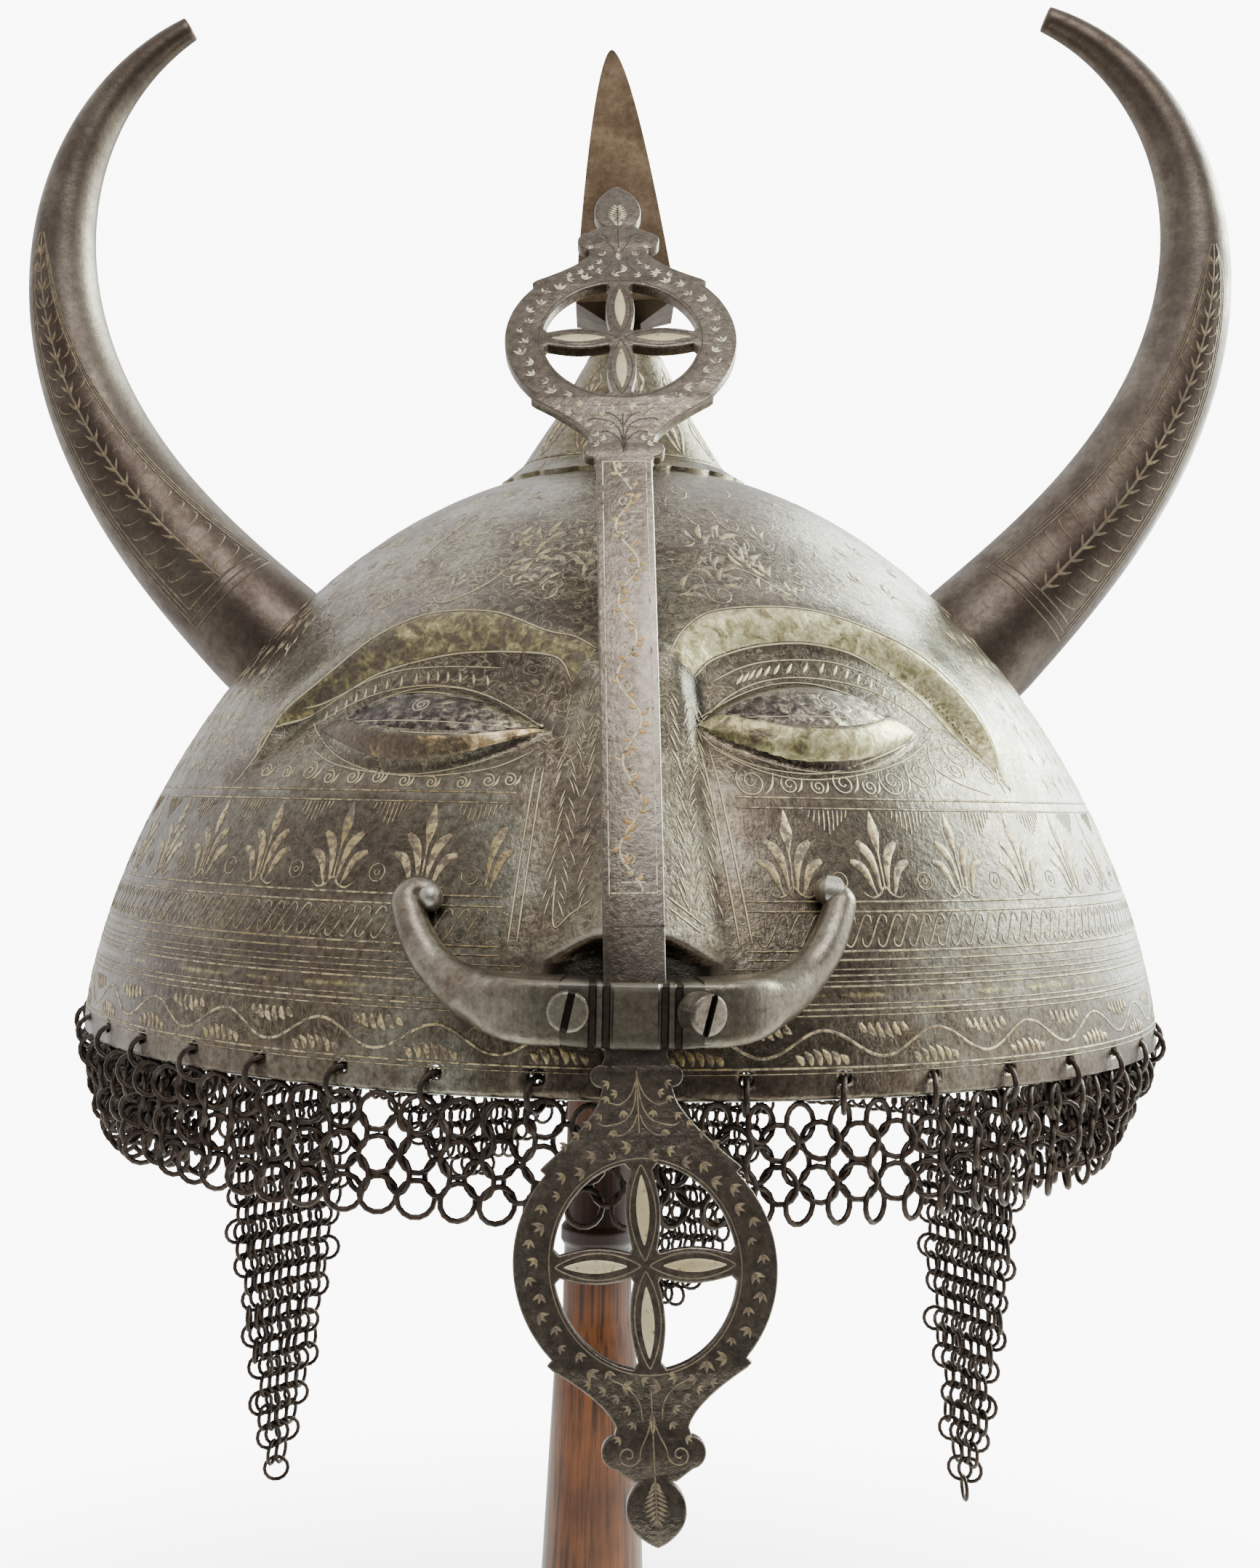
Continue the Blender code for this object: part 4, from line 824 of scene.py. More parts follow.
def faceLines():
    # Brow edges, lids, frames beside the nose, curls under the eyes, leaf strokes over them and the scratches
    # beside the bar
    lines = [pathLine(points, 0.34, 60) for points in faceDrawing["outlines"]]
    strokes = [pathLine(points, 0.32, 40) for points in faceDrawing["thin"]]
    lines += [pathLine(points, 0.34, 40) for points in faceDrawing["frames"]]
    for x, z, radius in faceDrawing["curls"]:
        scale = float(bowlChart["scale"](z))
        radius = radius * (1.4 if x > 0 else 1.3)
        points, widths = spiralStroke(0, 0, radius, 1.6, 130, 1 if x > 0 else -1, 0.28 if x > 0 else 0.34, 30)
        strokes.append(((points / (scale, 1) + (x, z))[None], widths[None]))
        leaf = radius * through([(0.7, -0.8), (1.2, -0.3), (1.5, 0.7)], 6)
        strokes.append(((leaf / (scale, 1) + (x, z))[None], (0.5 if x > 0 else 0.65) * faceDrawing["leafWidths"]))
    for path, lean, size in zip(faceDrawing["lashes"], (0.9, 2.0), (0.6, 0.75)):
        spots = through(path, 15)
        leaf = through([(-0.35 * lean, -1.0 if lean < 1 else -0.8), (0, 0), (0.45 * lean, 1.0 if lean > 1 else 0.9)],
                       5)
        if lean < 1:
            leaf = leaf * (-1, 1)
        strokes.append(placeMotif(leaf[None], size * faceDrawing["lashWidths"], spots, bowlChart))
    t = np.linspace(-0.985, 0.985, 44)
    soft = lambda width: taper(len(t), width, width, 0.05, 0.05)
    for side in faceSides.values():
        phi = side["way"] * (side["eye"] + side["eyeHalf"] * t)
        for way in (-1, 1):
            lines.append(oneStroke(phi, side["eyeHeight"] + way * side["eyeTall"] * (1.1 - 1.06 * t * t), soft(0.26)))
        middle, height, half, tall = side["ball"]
        strokes += [oneStroke(side["way"] * (middle + half * t), height - tall * (1 - t * t) * 0.98, soft(0.34)),
                    oneStroke(side["way"] * (middle + half * t * 0.8), height - tall * 0.5 + 0.5 * t * t, soft(0.22))]
        iris = spiralStroke(0, 0, 1.7, 2.0, 90, 1, 0.22, 44)
        strokes.append(((iris[0] / (1.5, 1) + (side["way"] * (middle + 1.6), height + 1.2))[None], iris[1][None]))
    for phi, slant in faceDrawing["scratches"]:
        heights = np.arange(28.0, 61.0, 1.55)
        for way in (-1, 1):
            for k in range(3):
                part = heights[k::3]
                spots = join(way * (phi + chance.normal(0, 0.25, len(part))), part + chance.normal(0, 0.4, len(part)))
                reach = chance.uniform(0.9, 1.5)
                scratch = np.array([[(-way * slant * 0.5, -reach), (0.0, 0.1), (way * slant * 0.6, reach)]])
                strokes.append(placeMotif(scratch, np.array([[0.12, 0.34, 0.1]]), spots, bowlChart))
    return lines, strokes


crownDrawing = {"scrollRows": [(80.2, 7.4), (85, 7.8), (90, 8.2), (95, 8.4), (100, 8.6)], "scrollCount": 24,
                "leafRows": (48.6, 53, 57.4, 61.8, 66.2, 70.6, 75), "leafPitch": 5.2, "from": 54, "turn": 252}


def petals(*rows):
    # Lens-shaped leaves, each from three points and a size
    return stackStrokes([(through(row[:3], 5), row[3] * petalWidths) for row in rows])


def crownScrolls():
    # Worn remains of scrolls and leaves on the crown: curls, single leaves and short dashes
    families = []
    curl = stackStrokes([spiralStroke(0, 0, 2.6, 1.1, 200, 1, 0.3, 20),
                         (through([(-2.4, -1.0), (-4.2, 0.6), (-6.4, -0.4)], 20), taper(20, 0.24, 0.24, 0.1, 0.1))])
    leaves = petals(((0, 0), (0.9, 0.5), (2.2, 0.3), 0.9), ((0.3, 0.8), (0.9, 1.5), (1.9, 2.0), 0.8),
                    ((-0.4, 0.6), (-0.6, 1.6), (-0.2, 2.5), 0.7))
    dash = petals(((-1.4, 0.3), (0, 0), (1.5, 0.4), 0.5))
    for z, step in crownDrawing["scrollRows"]:
        count = int(2 * math.pi * float(bowlRadius(z)) / step)
        phi = (np.arange(count) + chance.uniform(-0.3, 0.3, count)) * 360 / count - 180
        spots = join(phi, z + chance.uniform(-1.6, 1.6, count))
        kinds = chance.permutation(count)
        families += scatter(*curl, spots[kinds % 3 == 0], bowlChart, 5)
        families += scatter(*leaves, spots[kinds % 3 == 1], bowlChart)
        families += scatter(*dash, spots[kinds % 3 == 2], bowlChart)
    count = crownDrawing["scrollCount"]
    near = join(chance.uniform(5, 24, count) * np.repeat([-1, 1], count // 2), chance.uniform(78.5, 90, count))
    return families + scatter(leaves[0] * 1.5, leaves[1] * 1.5, near, bowlChart, 8)


def sideLeaves():
    # Rows of faint leaves beyond the brows, from the temples round the back
    sprig = petals(((0, 0), (0.9, 0.7), (1.2, 1.9), 0.7), ((0, 0), (-0.8, 0.9), (-0.9, 2.1), 0.7),
                   ((0, -1.6), (0.1, 0), (0.1, 1.4), 0.4))
    families = []
    for z in crownDrawing["leafRows"]:
        count = int(math.radians(crownDrawing["turn"]) * float(bowlRadius(z)) / crownDrawing["leafPitch"])
        spots = join(crownDrawing["from"] + crownDrawing["turn"] * (np.arange(count) + 0.5 * (int(z * 5) % 2)) / count,
                     z + chance.uniform(-0.5, 0.5, count))
        families += scatter(*sprig, spots, bowlChart, 3)
    return families


bowlOrnament()


# Crisp gilt and polished fields of the face

faceFields = [
    ("browGiltLeft", "gilt", faceDrawing["outlines"][0], faceDrawing["outlines"][2], [-0.06, -0.01, 0.02, 0.03]),
    ("browGiltRight", "gilt", faceDrawing["outlines"][1], faceDrawing["outlines"][3], [0.14, 0.17, 0.19, 0.17]),
    ("lidGiltLeft", "warm", [(-38.2, 55.8), (-34.4, 56.6), (-30, 54.8), (-23.9, 53.3), (-19.3, 53.1), (-14.4, 54.6),
                             (-9.7, 56.6)],
     [(-38.2, 55.8), (-34.0, 53.2), (-28.5, 50.5), (-24, 49.7), (-19.3, 50.4), (-14.4, 52.9), (-9.7, 56.0)],
     [-0.16, -0.12, 0.02, 0.22]),
    # The right lid's share rises towards its outer end: leaf, and a painted sheen there
    ("lidGiltRight", "gilt", [(6.9, 57.5), (10.3, 58.6), (15.8, 56.0), (20, 55.2), (25, 56.1), (30.6, 58.6),
                              (34.8, 58.0)],
     [(6.9, 57.5), (10.3, 54.7), (15.8, 51.7), (20, 51.05), (25, 51.65), (30.6, 54.3), (34.8, 57.4)],
     [0.05, 0.11, 0.17, 0.24]),
    # The left ball's share rises at its inner corner: a painted glint
    ("ballLeft", "ball", [(-34.2, 57.3), (-30, 60.0), (-24, 61.2), (-19, 61.0), (-14.5, 59.8), (-9.9, 57.3)],
     [(-34.2, 57.1), (-30, 54.8), (-24, 53.5), (-19, 53.6), (-14.5, 54.9), (-9.9, 57.1)], [-0.03, -0.01, 0.02, 0.2]),
    ("ballRight", "ball", [(10.0, 59.1), (13, 61.1), (18, 62.4), (23, 62.4), (27.5, 61.1), (30.8, 59.1)],
     [(10.0, 58.9), (13, 56.9), (18, 55.6), (23, 55.6), (27.5, 56.9), (30.8, 58.9)], [-0.04, 0.05, 0.08, 0.08])]


fieldSheet = {"columns": 90, "rows": 12, "lift": 0.05, "lidRise": 0.24, "border": -0.06,
              "finishes": {"gilt": gilding, "warm": warmGilding, "ball": ballSteel}}


def fieldPiece(name, finish, high, low, left):
    # A sheet between two curves on the bowl, low + (high - low) * share, whose border sinks in; a lid's
    # sheet rises over the crease below it, and the share of leaf that is left, with a painted highlight in places,
    # runs along the sheet
    columns, rows = fieldSheet["columns"], fieldSheet["rows"]
    share = np.linspace(0, 1, rows)[:, None, None]
    sheet = through(low, columns)[None] * (1 - share) + through(high, columns)[None] * share
    lift = np.full((rows, columns), fieldSheet["lift"])
    if name.startswith("lid"):
        lift = lift + fieldSheet["lidRise"] * (1 - share[..., 0]) ** 3
    lift[[0, -1]] = lift[:, [0, -1]] = fieldSheet["border"]
    points = bowlChart["place"](sheet[..., 0], sheet[..., 1], lift)
    faces = gridFaces(rows, columns)
    if high[0][0] > high[-1][0]:
        faces = faces[:, ::-1]
    piece = makeMesh(name, points.reshape(-1, 3), [faces], fieldSheet["finishes"][finish])
    along = np.broadcast_to(np.interp(np.linspace(0, 1, columns), np.linspace(0, 1, len(left)), left), (rows, columns))
    paintLayer(piece, "left", along.ravel())
    dress(piece, "helmet", "bowl_steel")


for field in faceFields:
    fieldPiece(*field)


# Horns

horns = {
    "hornLeft": {"node": "horn_left", "side": -1, "x": 71.1, "z": 75.2, "start": 42.4, "length": 143.0,
                 "turn": 105.5, "power": 1.65, "base": 12.8, "tip": 2.3, "panel": (-12.0, 28.0)},
    "hornRight": {"node": "horn_right", "side": 1, "x": 69.9, "z": 77.3, "start": 45.3, "length": 151.0,
                  "turn": 114.5, "power": 1.81, "base": 13.5, "tip": 2.5, "panel": (2.0, 14.0)}}
hornShape = {"plane": -9.0, "rings": 150, "sides": 56, "sink": -0.35}
hornPanel = {"start": 13.0, "end": 92.0, "pitch": 3.5, "spread": 40.0,
             "frames": [(0, 0, 0.34), (4.5, 1.6, 0.22), (9, 3.2, 0.28)],
             "barb": [(0.22, -0.2), (0.6, 0.2), (0.88, 1.3), (0.8, 2.4)], "leaves": [(5.5, 1.2), (9.0, 2.0)]}


def hornLine(horn, along):
    # The heading turns by start + turn * share ^ power; the path is its running sum
    steps = np.linspace(0, 1, 3001)
    angle = np.radians(horn["start"] + horn["turn"] * steps ** horn["power"])
    d = horn["length"] / 3000
    x = horn["x"] + np.concatenate([[0], np.cumsum(np.cos(angle[:-1]))]) * d
    z = horn["z"] + np.concatenate([[0], np.cumsum(np.sin(angle[:-1]))]) * d
    share = np.clip(np.asarray(along) / horn["length"], 0, 1)
    a = np.interp(share, steps, angle)
    side = horn["side"]
    point = join(side * np.interp(share, steps, x), hornShape["plane"], np.interp(share, steps, z))
    heading = join(side * np.cos(a), 0.0, np.sin(a))
    east = join(np.sin(a), 0.0, -side * np.cos(a))
    return point, heading, east


def onHorn(horn, psi, along, lift):
    # A circle of the taper's radius round the line; psi turns from the front to the viewer's right
    point, heading, east = hornLine(horn, along)
    radius = horn["base"] + (horn["tip"] - horn["base"]) * np.asarray(along) / horn["length"] + lift
    turn = np.radians(psi)
    front = np.array([0.0, -1.0, 0.0])
    return point + radius[..., None] * (np.cos(turn)[..., None] * front + np.sin(turn)[..., None] * east)


def seatOnBowl(points, heading, lift):
    # Halves the distance along the heading until each point lies on the bowl
    low, high = np.full(len(points), -30.0), np.full(len(points), 30.0)
    for step in range(40):
        middle = (low + high) / 2
        probe = points + heading * middle[:, None]
        inside = np.hypot(probe[:, 0], probe[:, 1]) < bowlRadius(probe[:, 2]) + lift
        low, high = np.where(inside, middle, low), np.where(inside, high, middle)
    return points + heading * high[:, None]


def hornFrame(horn, along):
    # The panel's middle line, its half width in degrees, and 1 between its ends
    share = np.clip((along - hornPanel["start"]) / (hornPanel["end"] - hornPanel["start"]), 0, 1)
    spread = hornPanel["spread"] * (1 - share) ** 0.6 + 4
    first, last = horn["panel"]
    middle = horn["side"] * (first + (last - first) * share)
    return middle, spread, band(along, hornPanel["start"], hornPanel["end"], 0.6)


def hornPiece(name, horn):
    # onHorn over the whole length, its first ring seated on the bowl and its cut end rounded by two more
    rings, sides = hornShape["rings"], hornShape["sides"]
    psi, along = np.meshgrid(np.arange(sides) * 360 / sides, np.linspace(0, horn["length"], rings))
    points = onHorn(horn, psi, along, 0.0)
    heading = hornLine(horn, np.zeros(1))[1][0]
    points[0] = seatOnBowl(points[0], heading, hornShape["sink"])
    closing = onHorn(horn, psi[:2], np.full((2, sides), horn["length"]), np.array([[-0.3], [-horn["tip"] * 0.6]])
                     * np.ones(sides))
    end = hornLine(horn, np.array([horn["length"]]))
    closing = closing + end[1][0] * np.array([0.22, 0.3])[:, None, None]
    tips = np.stack([points[0].mean(axis=0), end[0][0] + end[1][0] * 0.3])
    skin, faces = tube(np.concatenate([points, closing]), tips)
    piece = makeMesh(name, skin, faces, hornSteel, sharp=50)
    wearShadeAndHighlight = np.zeros((len(piece.data.vertices), 3))
    spine, spread, inside = hornFrame(horn, along)
    away = (psi - spine + 180) % 360 - 180
    panel = smoothStep(spread + 3, spread - 2, np.abs(away)) * inside
    foot = smoothStep(12, 4, along)
    end = smoothStep(0.62, 0.95, along / horn["length"])
    wearShadeAndHighlight[:psi.size, 1] = np.clip(0.2 * panel + 0.1 * foot + 0.25 * end, 0, 1).ravel()
    wearShadeAndHighlight[:psi.size, 2] = (0.05 * (1 - panel) * smoothStep(20, 60, along) * (1 - end)).ravel()
    paintLayer(piece, "wearShadeAndHighlight", wearShadeAndHighlight)
    dress(piece, "helmet", "horn_steel", horn["node"])


def hornOrnament(name, horn):
    # Crescent barbs on both sides of a gilt stem with leaves, in three nested frames that run to a point
    radius = lambda v: horn["base"] + (horn["tip"] - horn["base"]) * np.clip(v / horn["length"], 0, 1)
    chart = {"body": "helmet", "slot": "horn_steel", "place": lambda u, v, lift: onHorn(horn, u, v, lift),
             "scale": lambda v: radius(v) * math.pi / 180, "rise": lambda v: 1.0}
    along = np.linspace(hornPanel["start"], hornPanel["end"], 60)
    spine, spread, inside = hornFrame(horn, along)
    lines, barbs, leaves = [], [], []
    for more, drop, width in hornPanel["frames"]:
        for way in (-1, 1):
            lines.append(oneStroke(spine + way * (spread + more), along - drop, width))
        ends = np.linspace(spine[0] - spread[0] - more, spine[0] + spread[0] + more, 20)
        lines.append(oneStroke(ends, along[0] - drop, width))
    stem = [oneStroke(spine, along, np.linspace(0.6, 0.3, 60))]
    at = np.arange(hornPanel["start"] + 1.5, hornPanel["end"] - 3, hornPanel["pitch"])
    for v0 in at:
        middle, half, shown = (float(np.asarray(x)) for x in hornFrame(horn, np.array(v0)))
        for way in (-1, 1):
            line = [(middle + share * way * half, v0 + up) for share, up in hornPanel["barb"]]
            barbs.append((through(line, 9), taper(9, 0.24, 0.48, 0.2, 0.4)))
            for reach, up in hornPanel["leaves"]:
                line = [(middle, v0 - 0.4), (middle + way * reach * 0.6, v0 + up * 0.5),
                        (middle + way * reach, v0 + up)]
                leaves.append((through(line, 5), 0.6 * leafWidths))
    ribbons(name + "Engraving", lines + stem, chart, 0.03, 0.2, engraved)
    ribbons(name + "Inlay", lines[:2] + stem + [stackStrokes(leaves)], chart, 0.06, -0.04, hornGold)
    ribbons(name + "Barbs", lines[2:] + [stackStrokes(barbs)], chart, 0.05, -0.04, hornGold)


for name, horn in horns.items():
    hornPiece(name, horn)
    hornOrnament(name, horn)


# Spike and its scalloped cone

spike = {"x": -1.6, "lean": -3.9, "tip": 197.8, "widest": 145.0, "half": 9.9, "taper": 0.62, "neckTop": 140.8,
         "neckHalf": 3.0, "foot": 139.3, "rows": 60}
cone = {"scallops": 16, "depth": 1.2, "rows": [(24.8, 110.1), (20.9, 110.8), (14.2, 121.3), (7.3, 134.7),
                                               (4.8, 139.4)],
        "sole": 24.8, "under": 20.0, "brim": 0.95, "rim": 24.4, "bevel": 0.15, "sink": 0.05, "ledge": (21.2, 110.85),
        "body": (110.9, 139.2, 40), "neck": [(4.75, 139.4), (3.2, 139.42)], "lines": (111.6, 123.2, 134.0),
        "petals": [(12, 4, 112.3, 1.0), (8, 10, 124.0, 0.7)]}


def spikeBlade():
    # Square sections whose half width is half * share ^ taper below the tip, a shoulder and a neck
    share = np.linspace(0.015, 1, spike["rows"]) ** 1.6
    z = np.concatenate([spike["tip"] - (spike["tip"] - spike["widest"]) * share,
                        [spike["widest"] - 1.2, spike["neckTop"], spike["foot"]]])
    half = np.concatenate([spike["half"] * share ** spike["taper"],
                           [spike["half"], spike["neckHalf"], spike["neckHalf"]]])
    across = np.linspace(-1, 1, 7)[:-1]
    square = np.concatenate([join(across, -np.ones(6)), join(np.ones(6), across),
                             join(-across, np.ones(6)), join(-np.ones(6), -across)])
    z, half = z[::-1], half[::-1]
    points = np.empty((len(z), 24, 3))
    points[..., :2] = square * half[:, None, None]
    points[..., 2] = (z - spike["foot"])[:, None]
    points, faces = tube(points, [[0, 0, 0], [0, 0, spike["tip"] - spike["foot"]]])
    lean = math.radians(spike["lean"])
    x = points[:, 0] * math.cos(lean) + points[:, 2] * math.sin(lean)
    height = points[:, 2] * math.cos(lean) - points[:, 0] * math.sin(lean)
    points = join(x + spike["x"], points[:, 1], height + spike["foot"])
    dress(makeMesh("spikeBlade", points, faces, spikeSteel, sharp=30), "helmet", "spike_steel", "spike")


def coneRadius(z):
    # Straight between the rows' radii
    radii, heights = zip(*cone["rows"])
    return np.interp(z, heights, radii)


def onCone(phi, z, lift):
    # The cone's radius + lift, turned round its axis
    return roundAxis(coneRadius(z) + lift, phi, z + 0.4 * lift) + (spike["x"], 0, 0)


def spikeCone():
    # A cone turned on its axis whose foot's edge is cut back between round lobes
    columns = cone["scallops"] * 12
    phi = np.arange(columns) * 360 / columns
    lobe = cone["depth"] * (1 - np.abs(np.sin(np.radians(phi) * cone["scallops"] / 2)) ** 0.7)
    ring = lambda radius, z, cut: roundAxis(radius - cut * lobe, phi, z) + (spike["x"], 0, 0)
    sole, under = ring(cone["sole"], 0.0, 1), ring(cone["under"], 0.0, 0)
    for loop in (sole, under):
        loop[:, 2] = bowlHeight(np.hypot(loop[:, 0], loop[:, 1])) - cone["sink"]
    brim, rim = sole + (0, 0, cone["brim"]), ring(cone["rim"], 0.0, 1)
    rim[:, 2] = brim[:, 2] + cone["bevel"]
    low, high, count = cone["body"]
    body = [ring(float(coneRadius(z)), z, 0) for z in np.linspace(low, high, count)]
    neck = [ring(*row, 0) for row in cone["neck"]]
    loops = np.array([under, sole, brim, rim, ring(*cone["ledge"], 0)] + body + neck)
    tips = np.array([[spike["x"], 0, low], [spike["x"], 0, cone["neck"][-1][1]]])
    dress(makeMesh("spikeCone", *tube(loops, tips), coneSteel, sharp=35),
          "helmet", "spike_base_steel", "spike_base")
    chart = {"body": "helmet", "slot": "spike_base_steel", "place": onCone,
             "scale": lambda v: np.maximum(coneRadius(v), 3) * math.pi / 180, "rise": lambda v: 1.2}
    petals = stackStrokes(mirrored([(through([(0.3, 0), (1.4, 2.5), (2.2, 5.5), (1.2, 8.0)], 12),
                                     taper(12, 0.5, 1.4, 0.1, 0.3))])
                          + [(through([(0, 1), (0, 11)], 12), 1.5 * np.sin(np.linspace(0.1, 3.04, 12)))])
    families = [placeMotif(petals[0] * size, petals[1] * size, join(np.arange(count) * 360 / count + start, z), chart)
                for count, start, z, size in cone["petals"]]
    families += [bandLine(z, 0, 360, 0.35, 120) for z in cone["lines"]]
    ribbons("coneEngraving", families, chart, 0.03, 0.3, engraved)
    ribbons("coneInlay", families, chart, 0.07, -0.05, gold)


spikeBlade()
spikeCone()


# Nasal: one plate, a long bar bent to an arc between two pierced finials

nasal = {"width": 9.1, "thick": 2.2, "x": 0.5, "y": -110.4, "z": 14.0, "lean": 10.0, "bend": 226.0, "bendLow": -8.0,
         "bendHigh": 95.5, "tilt": -1.85, "skew": 0.030, "bevel": 0.28}
finials = {"lower": {"s": -35.5, "way": -1, "ring": 18.7, "holeX": 13.0, "holeT": 14.3, "tip": 38.0},
           "upper": {"s": 121.3, "way": 1, "ring": 19.9, "holeX": 13.4, "holeT": 13.9, "tip": 40.5}}


def onNasal(x, s, offset):
    # The flat plate laid along the arc, straight beyond its ends, then tilted in its bracket
    x = x + nasal["skew"] * np.maximum(nasal["bendLow"] - s, 0)
    arc = np.clip(s, nasal["bendLow"], nasal["bendHigh"])
    lean = math.radians(nasal["lean"])
    angle = lean + arc / nasal["bend"]
    reach = nasal["bend"] - offset
    y = -reach * np.cos(angle) + (s - arc) * np.sin(angle) + nasal["bend"] * math.cos(lean)
    z = reach * np.sin(angle) + (s - arc) * np.cos(angle) - nasal["bend"] * math.sin(lean)
    tilt = math.radians(nasal["tilt"])
    return join(x * math.cos(tilt) + z * math.sin(tilt) + nasal["x"], y + nasal["y"],
                z * math.cos(tilt) - x * math.sin(tilt) + nasal["z"])


def arcPoints(x, t, radius, first, last, count):
    # Even steps on a circle round (x, t), the angles in degrees from +X
    angle = np.radians(np.linspace(first, last, count))
    return join(x + radius * np.cos(angle), t + radius * np.sin(angle))


def finialEdge(row):
    # The edge at +X from the bar to the tip: ear, flare, spur, ring, spur, neck, scroll and leaf
    ear = arcPoints(5.0, -26.5, 1.7, -90, 90, 14)
    spurX = row["ring"] * math.cos(math.radians(43))
    spurT = row["ring"] * math.sin(math.radians(43))
    f = np.linspace(0, 1, 20)[:-1]
    flare = join(5.3 + (spurX - 5.3) * f ** 1.4, -23.8 + (23.8 - spurT - 1.4) * f)
    spur = np.array([(spurX, -spurT - 1.4), (spurX + 0.7, -spurT - 0.7)])
    ring = arcPoints(0, 0, row["ring"], -43, 43, 40)
    spurHigh = np.array([(spurX + 0.7, spurT + 0.7)])
    neck = join(5.0 + (spurX - 5.0) * (1 - f) ** 1.6, spurT + 1.4 + (22.4 - spurT - 1.4) * f)
    scroll = arcPoints(5.0, 25.3, 2.3, -80, 80, 18)
    waist = np.array([(3.0, 29.2)])
    angle = np.radians(np.linspace(-60, 0, 10))
    leafLow = join(4.2 * np.cos(angle), 33.0 + 4.4 * np.sin(angle))
    g = np.linspace(0, 1, 14)[1:-1]
    leafHigh = join(4.2 * (1 - g ** 2.2) ** 0.85, 33.0 + (row["tip"] - 33.0) * g)
    return np.concatenate([ear, flare, spur, ring, spurHigh, neck, scroll, waist, leafLow, leafHigh])


def crossHoles(row):
    # Four openings between the ring and its cross, whose arms swell like a lens
    holes = []
    for sx, st in ((1, 1), (-1, 1), (-1, -1), (1, -1)):
        f = np.linspace(0.16, 0.93, 16)
        half = 1.35 + 1.15 * np.sin(math.pi * np.clip((f - 0.05) / 0.95, 0, 1))
        armX = join(row["holeX"] * f, half)
        armT = join(half, row["holeT"] * f)
        first = math.asin(armX[-1, 1] / row["holeT"])
        last = math.acos(armT[-1, 0] / row["holeX"])
        a = np.linspace(first, last, 26)[1:-1]
        rim = join(row["holeX"] * np.cos(a), row["holeT"] * np.sin(a))
        holes.append(np.concatenate([armX, rim, armT[::-1]]) * (sx, st))
    return holes


def nasalPlate():
    # A filled outline with a rounded edge, cut across every 2 mm so that it can follow the arc
    lower, upper = finials["lower"], finials["upper"]
    rises = finialEdge(upper) + (0, upper["s"])
    falls = finialEdge(lower) * (1, -1) + (0, lower["s"])
    half = nasal["width"] / 2
    right = np.concatenate([falls[::-1], [(half, falls[0, 1] + 1.0), (half, rises[0, 1] - 1.0)], rises])
    outline = np.concatenate([right, [(0, upper["s"] + upper["tip"])], (right * (-1, 1))[::-1],
                              [(0, lower["s"] - lower["tip"])]])
    loops = [outline]
    for row in finials.values():
        loops += [hole * (1, row["way"]) + (0, row["s"]) for hole in crossHoles(row)]
    curve = bpy.data.curves.new("nasalOutline", "CURVE")
    curve.dimensions = "2D"
    curve.fill_mode = "BOTH"
    curve.offset = -nasal["bevel"]
    curve.extrude = nasal["thick"] / 2 - nasal["bevel"]
    curve.bevel_depth = nasal["bevel"]
    curve.bevel_resolution = 2
    for loop in loops:
        spline = curve.splines.new("POLY")
        spline.points.add(len(loop) - 1)
        spline.points.foreach_set("co", join(loop[:, 0], loop[:, 1], 0.0, 1.0).ravel())
        spline.use_cyclic_u = True
    holder = bpy.data.objects.new("nasalOutline", curve)
    mesh = bpy.data.meshes.new_from_object(holder)
    bpy.data.objects.remove(holder)
    work = bmesh.new()
    work.from_mesh(mesh)
    bmesh.ops.remove_doubles(work, verts=work.verts, dist=0.001)
    for s in np.arange(-70, 158, 2.5):
        bmesh.ops.bisect_plane(work, geom=list(work.verts) + list(work.edges) + list(work.faces), dist=1e-5,
                               plane_co=(0, s, 0), plane_no=(0, 1, 0))
    bmesh.ops.triangulate(work, faces=work.faces)
    work.to_mesh(mesh)
    work.free()
    flat = np.empty(len(mesh.vertices) * 3)
    mesh.vertices.foreach_get("co", flat)
    flat = flat.reshape(-1, 3)
    corners = np.empty(len(mesh.polygons) * 3, np.int32)
    mesh.polygons.foreach_get("vertices", corners)
    bpy.data.meshes.remove(mesh)
    faces = [corners.reshape(-1, 3)[:, ::-1]]
    piece = makeMesh("nasalPlate", onNasal(flat[:, 0], flat[:, 1], flat[:, 2]), faces, nasalSteel, sharp=40)
    x, s = flat[:, 0], flat[:, 1]
    # Green: dirt and painted shade on the bar's lower part round the bracket, painted shade on the lower finial, and
    # the upper finial a little darker
    dirt = 0.5 * band(s, -9, 12.4, 0.5) + 0.2 * smoothStep(-8, -10, s) + 0.1 * smoothStep(96, 106, s)
    # Blue: a painted highlight along the bar's right edge, the side the light comes from
    rubbed = 0.7 * smoothStep(4.2, 4.4, x) * band(s, 5, 92, 1.5)
    paintLayer(piece, "wearShadeAndHighlight", join(0.0, dirt, rubbed))
    dress(piece, "nasal", "nasal_steel", "nasal")


def prongs(x, t, angle, size=1.0):
    # A hand of three short leaves at a point, spread about the angle
    tips = [np.radians(angle + spread) for spread in (-42, 0, 42)]
    return [(np.linspace((x, t), (x + size * math.cos(a), t + size * math.sin(a)), 5), 0.42 * size * leafWidths)
            for a in tips]


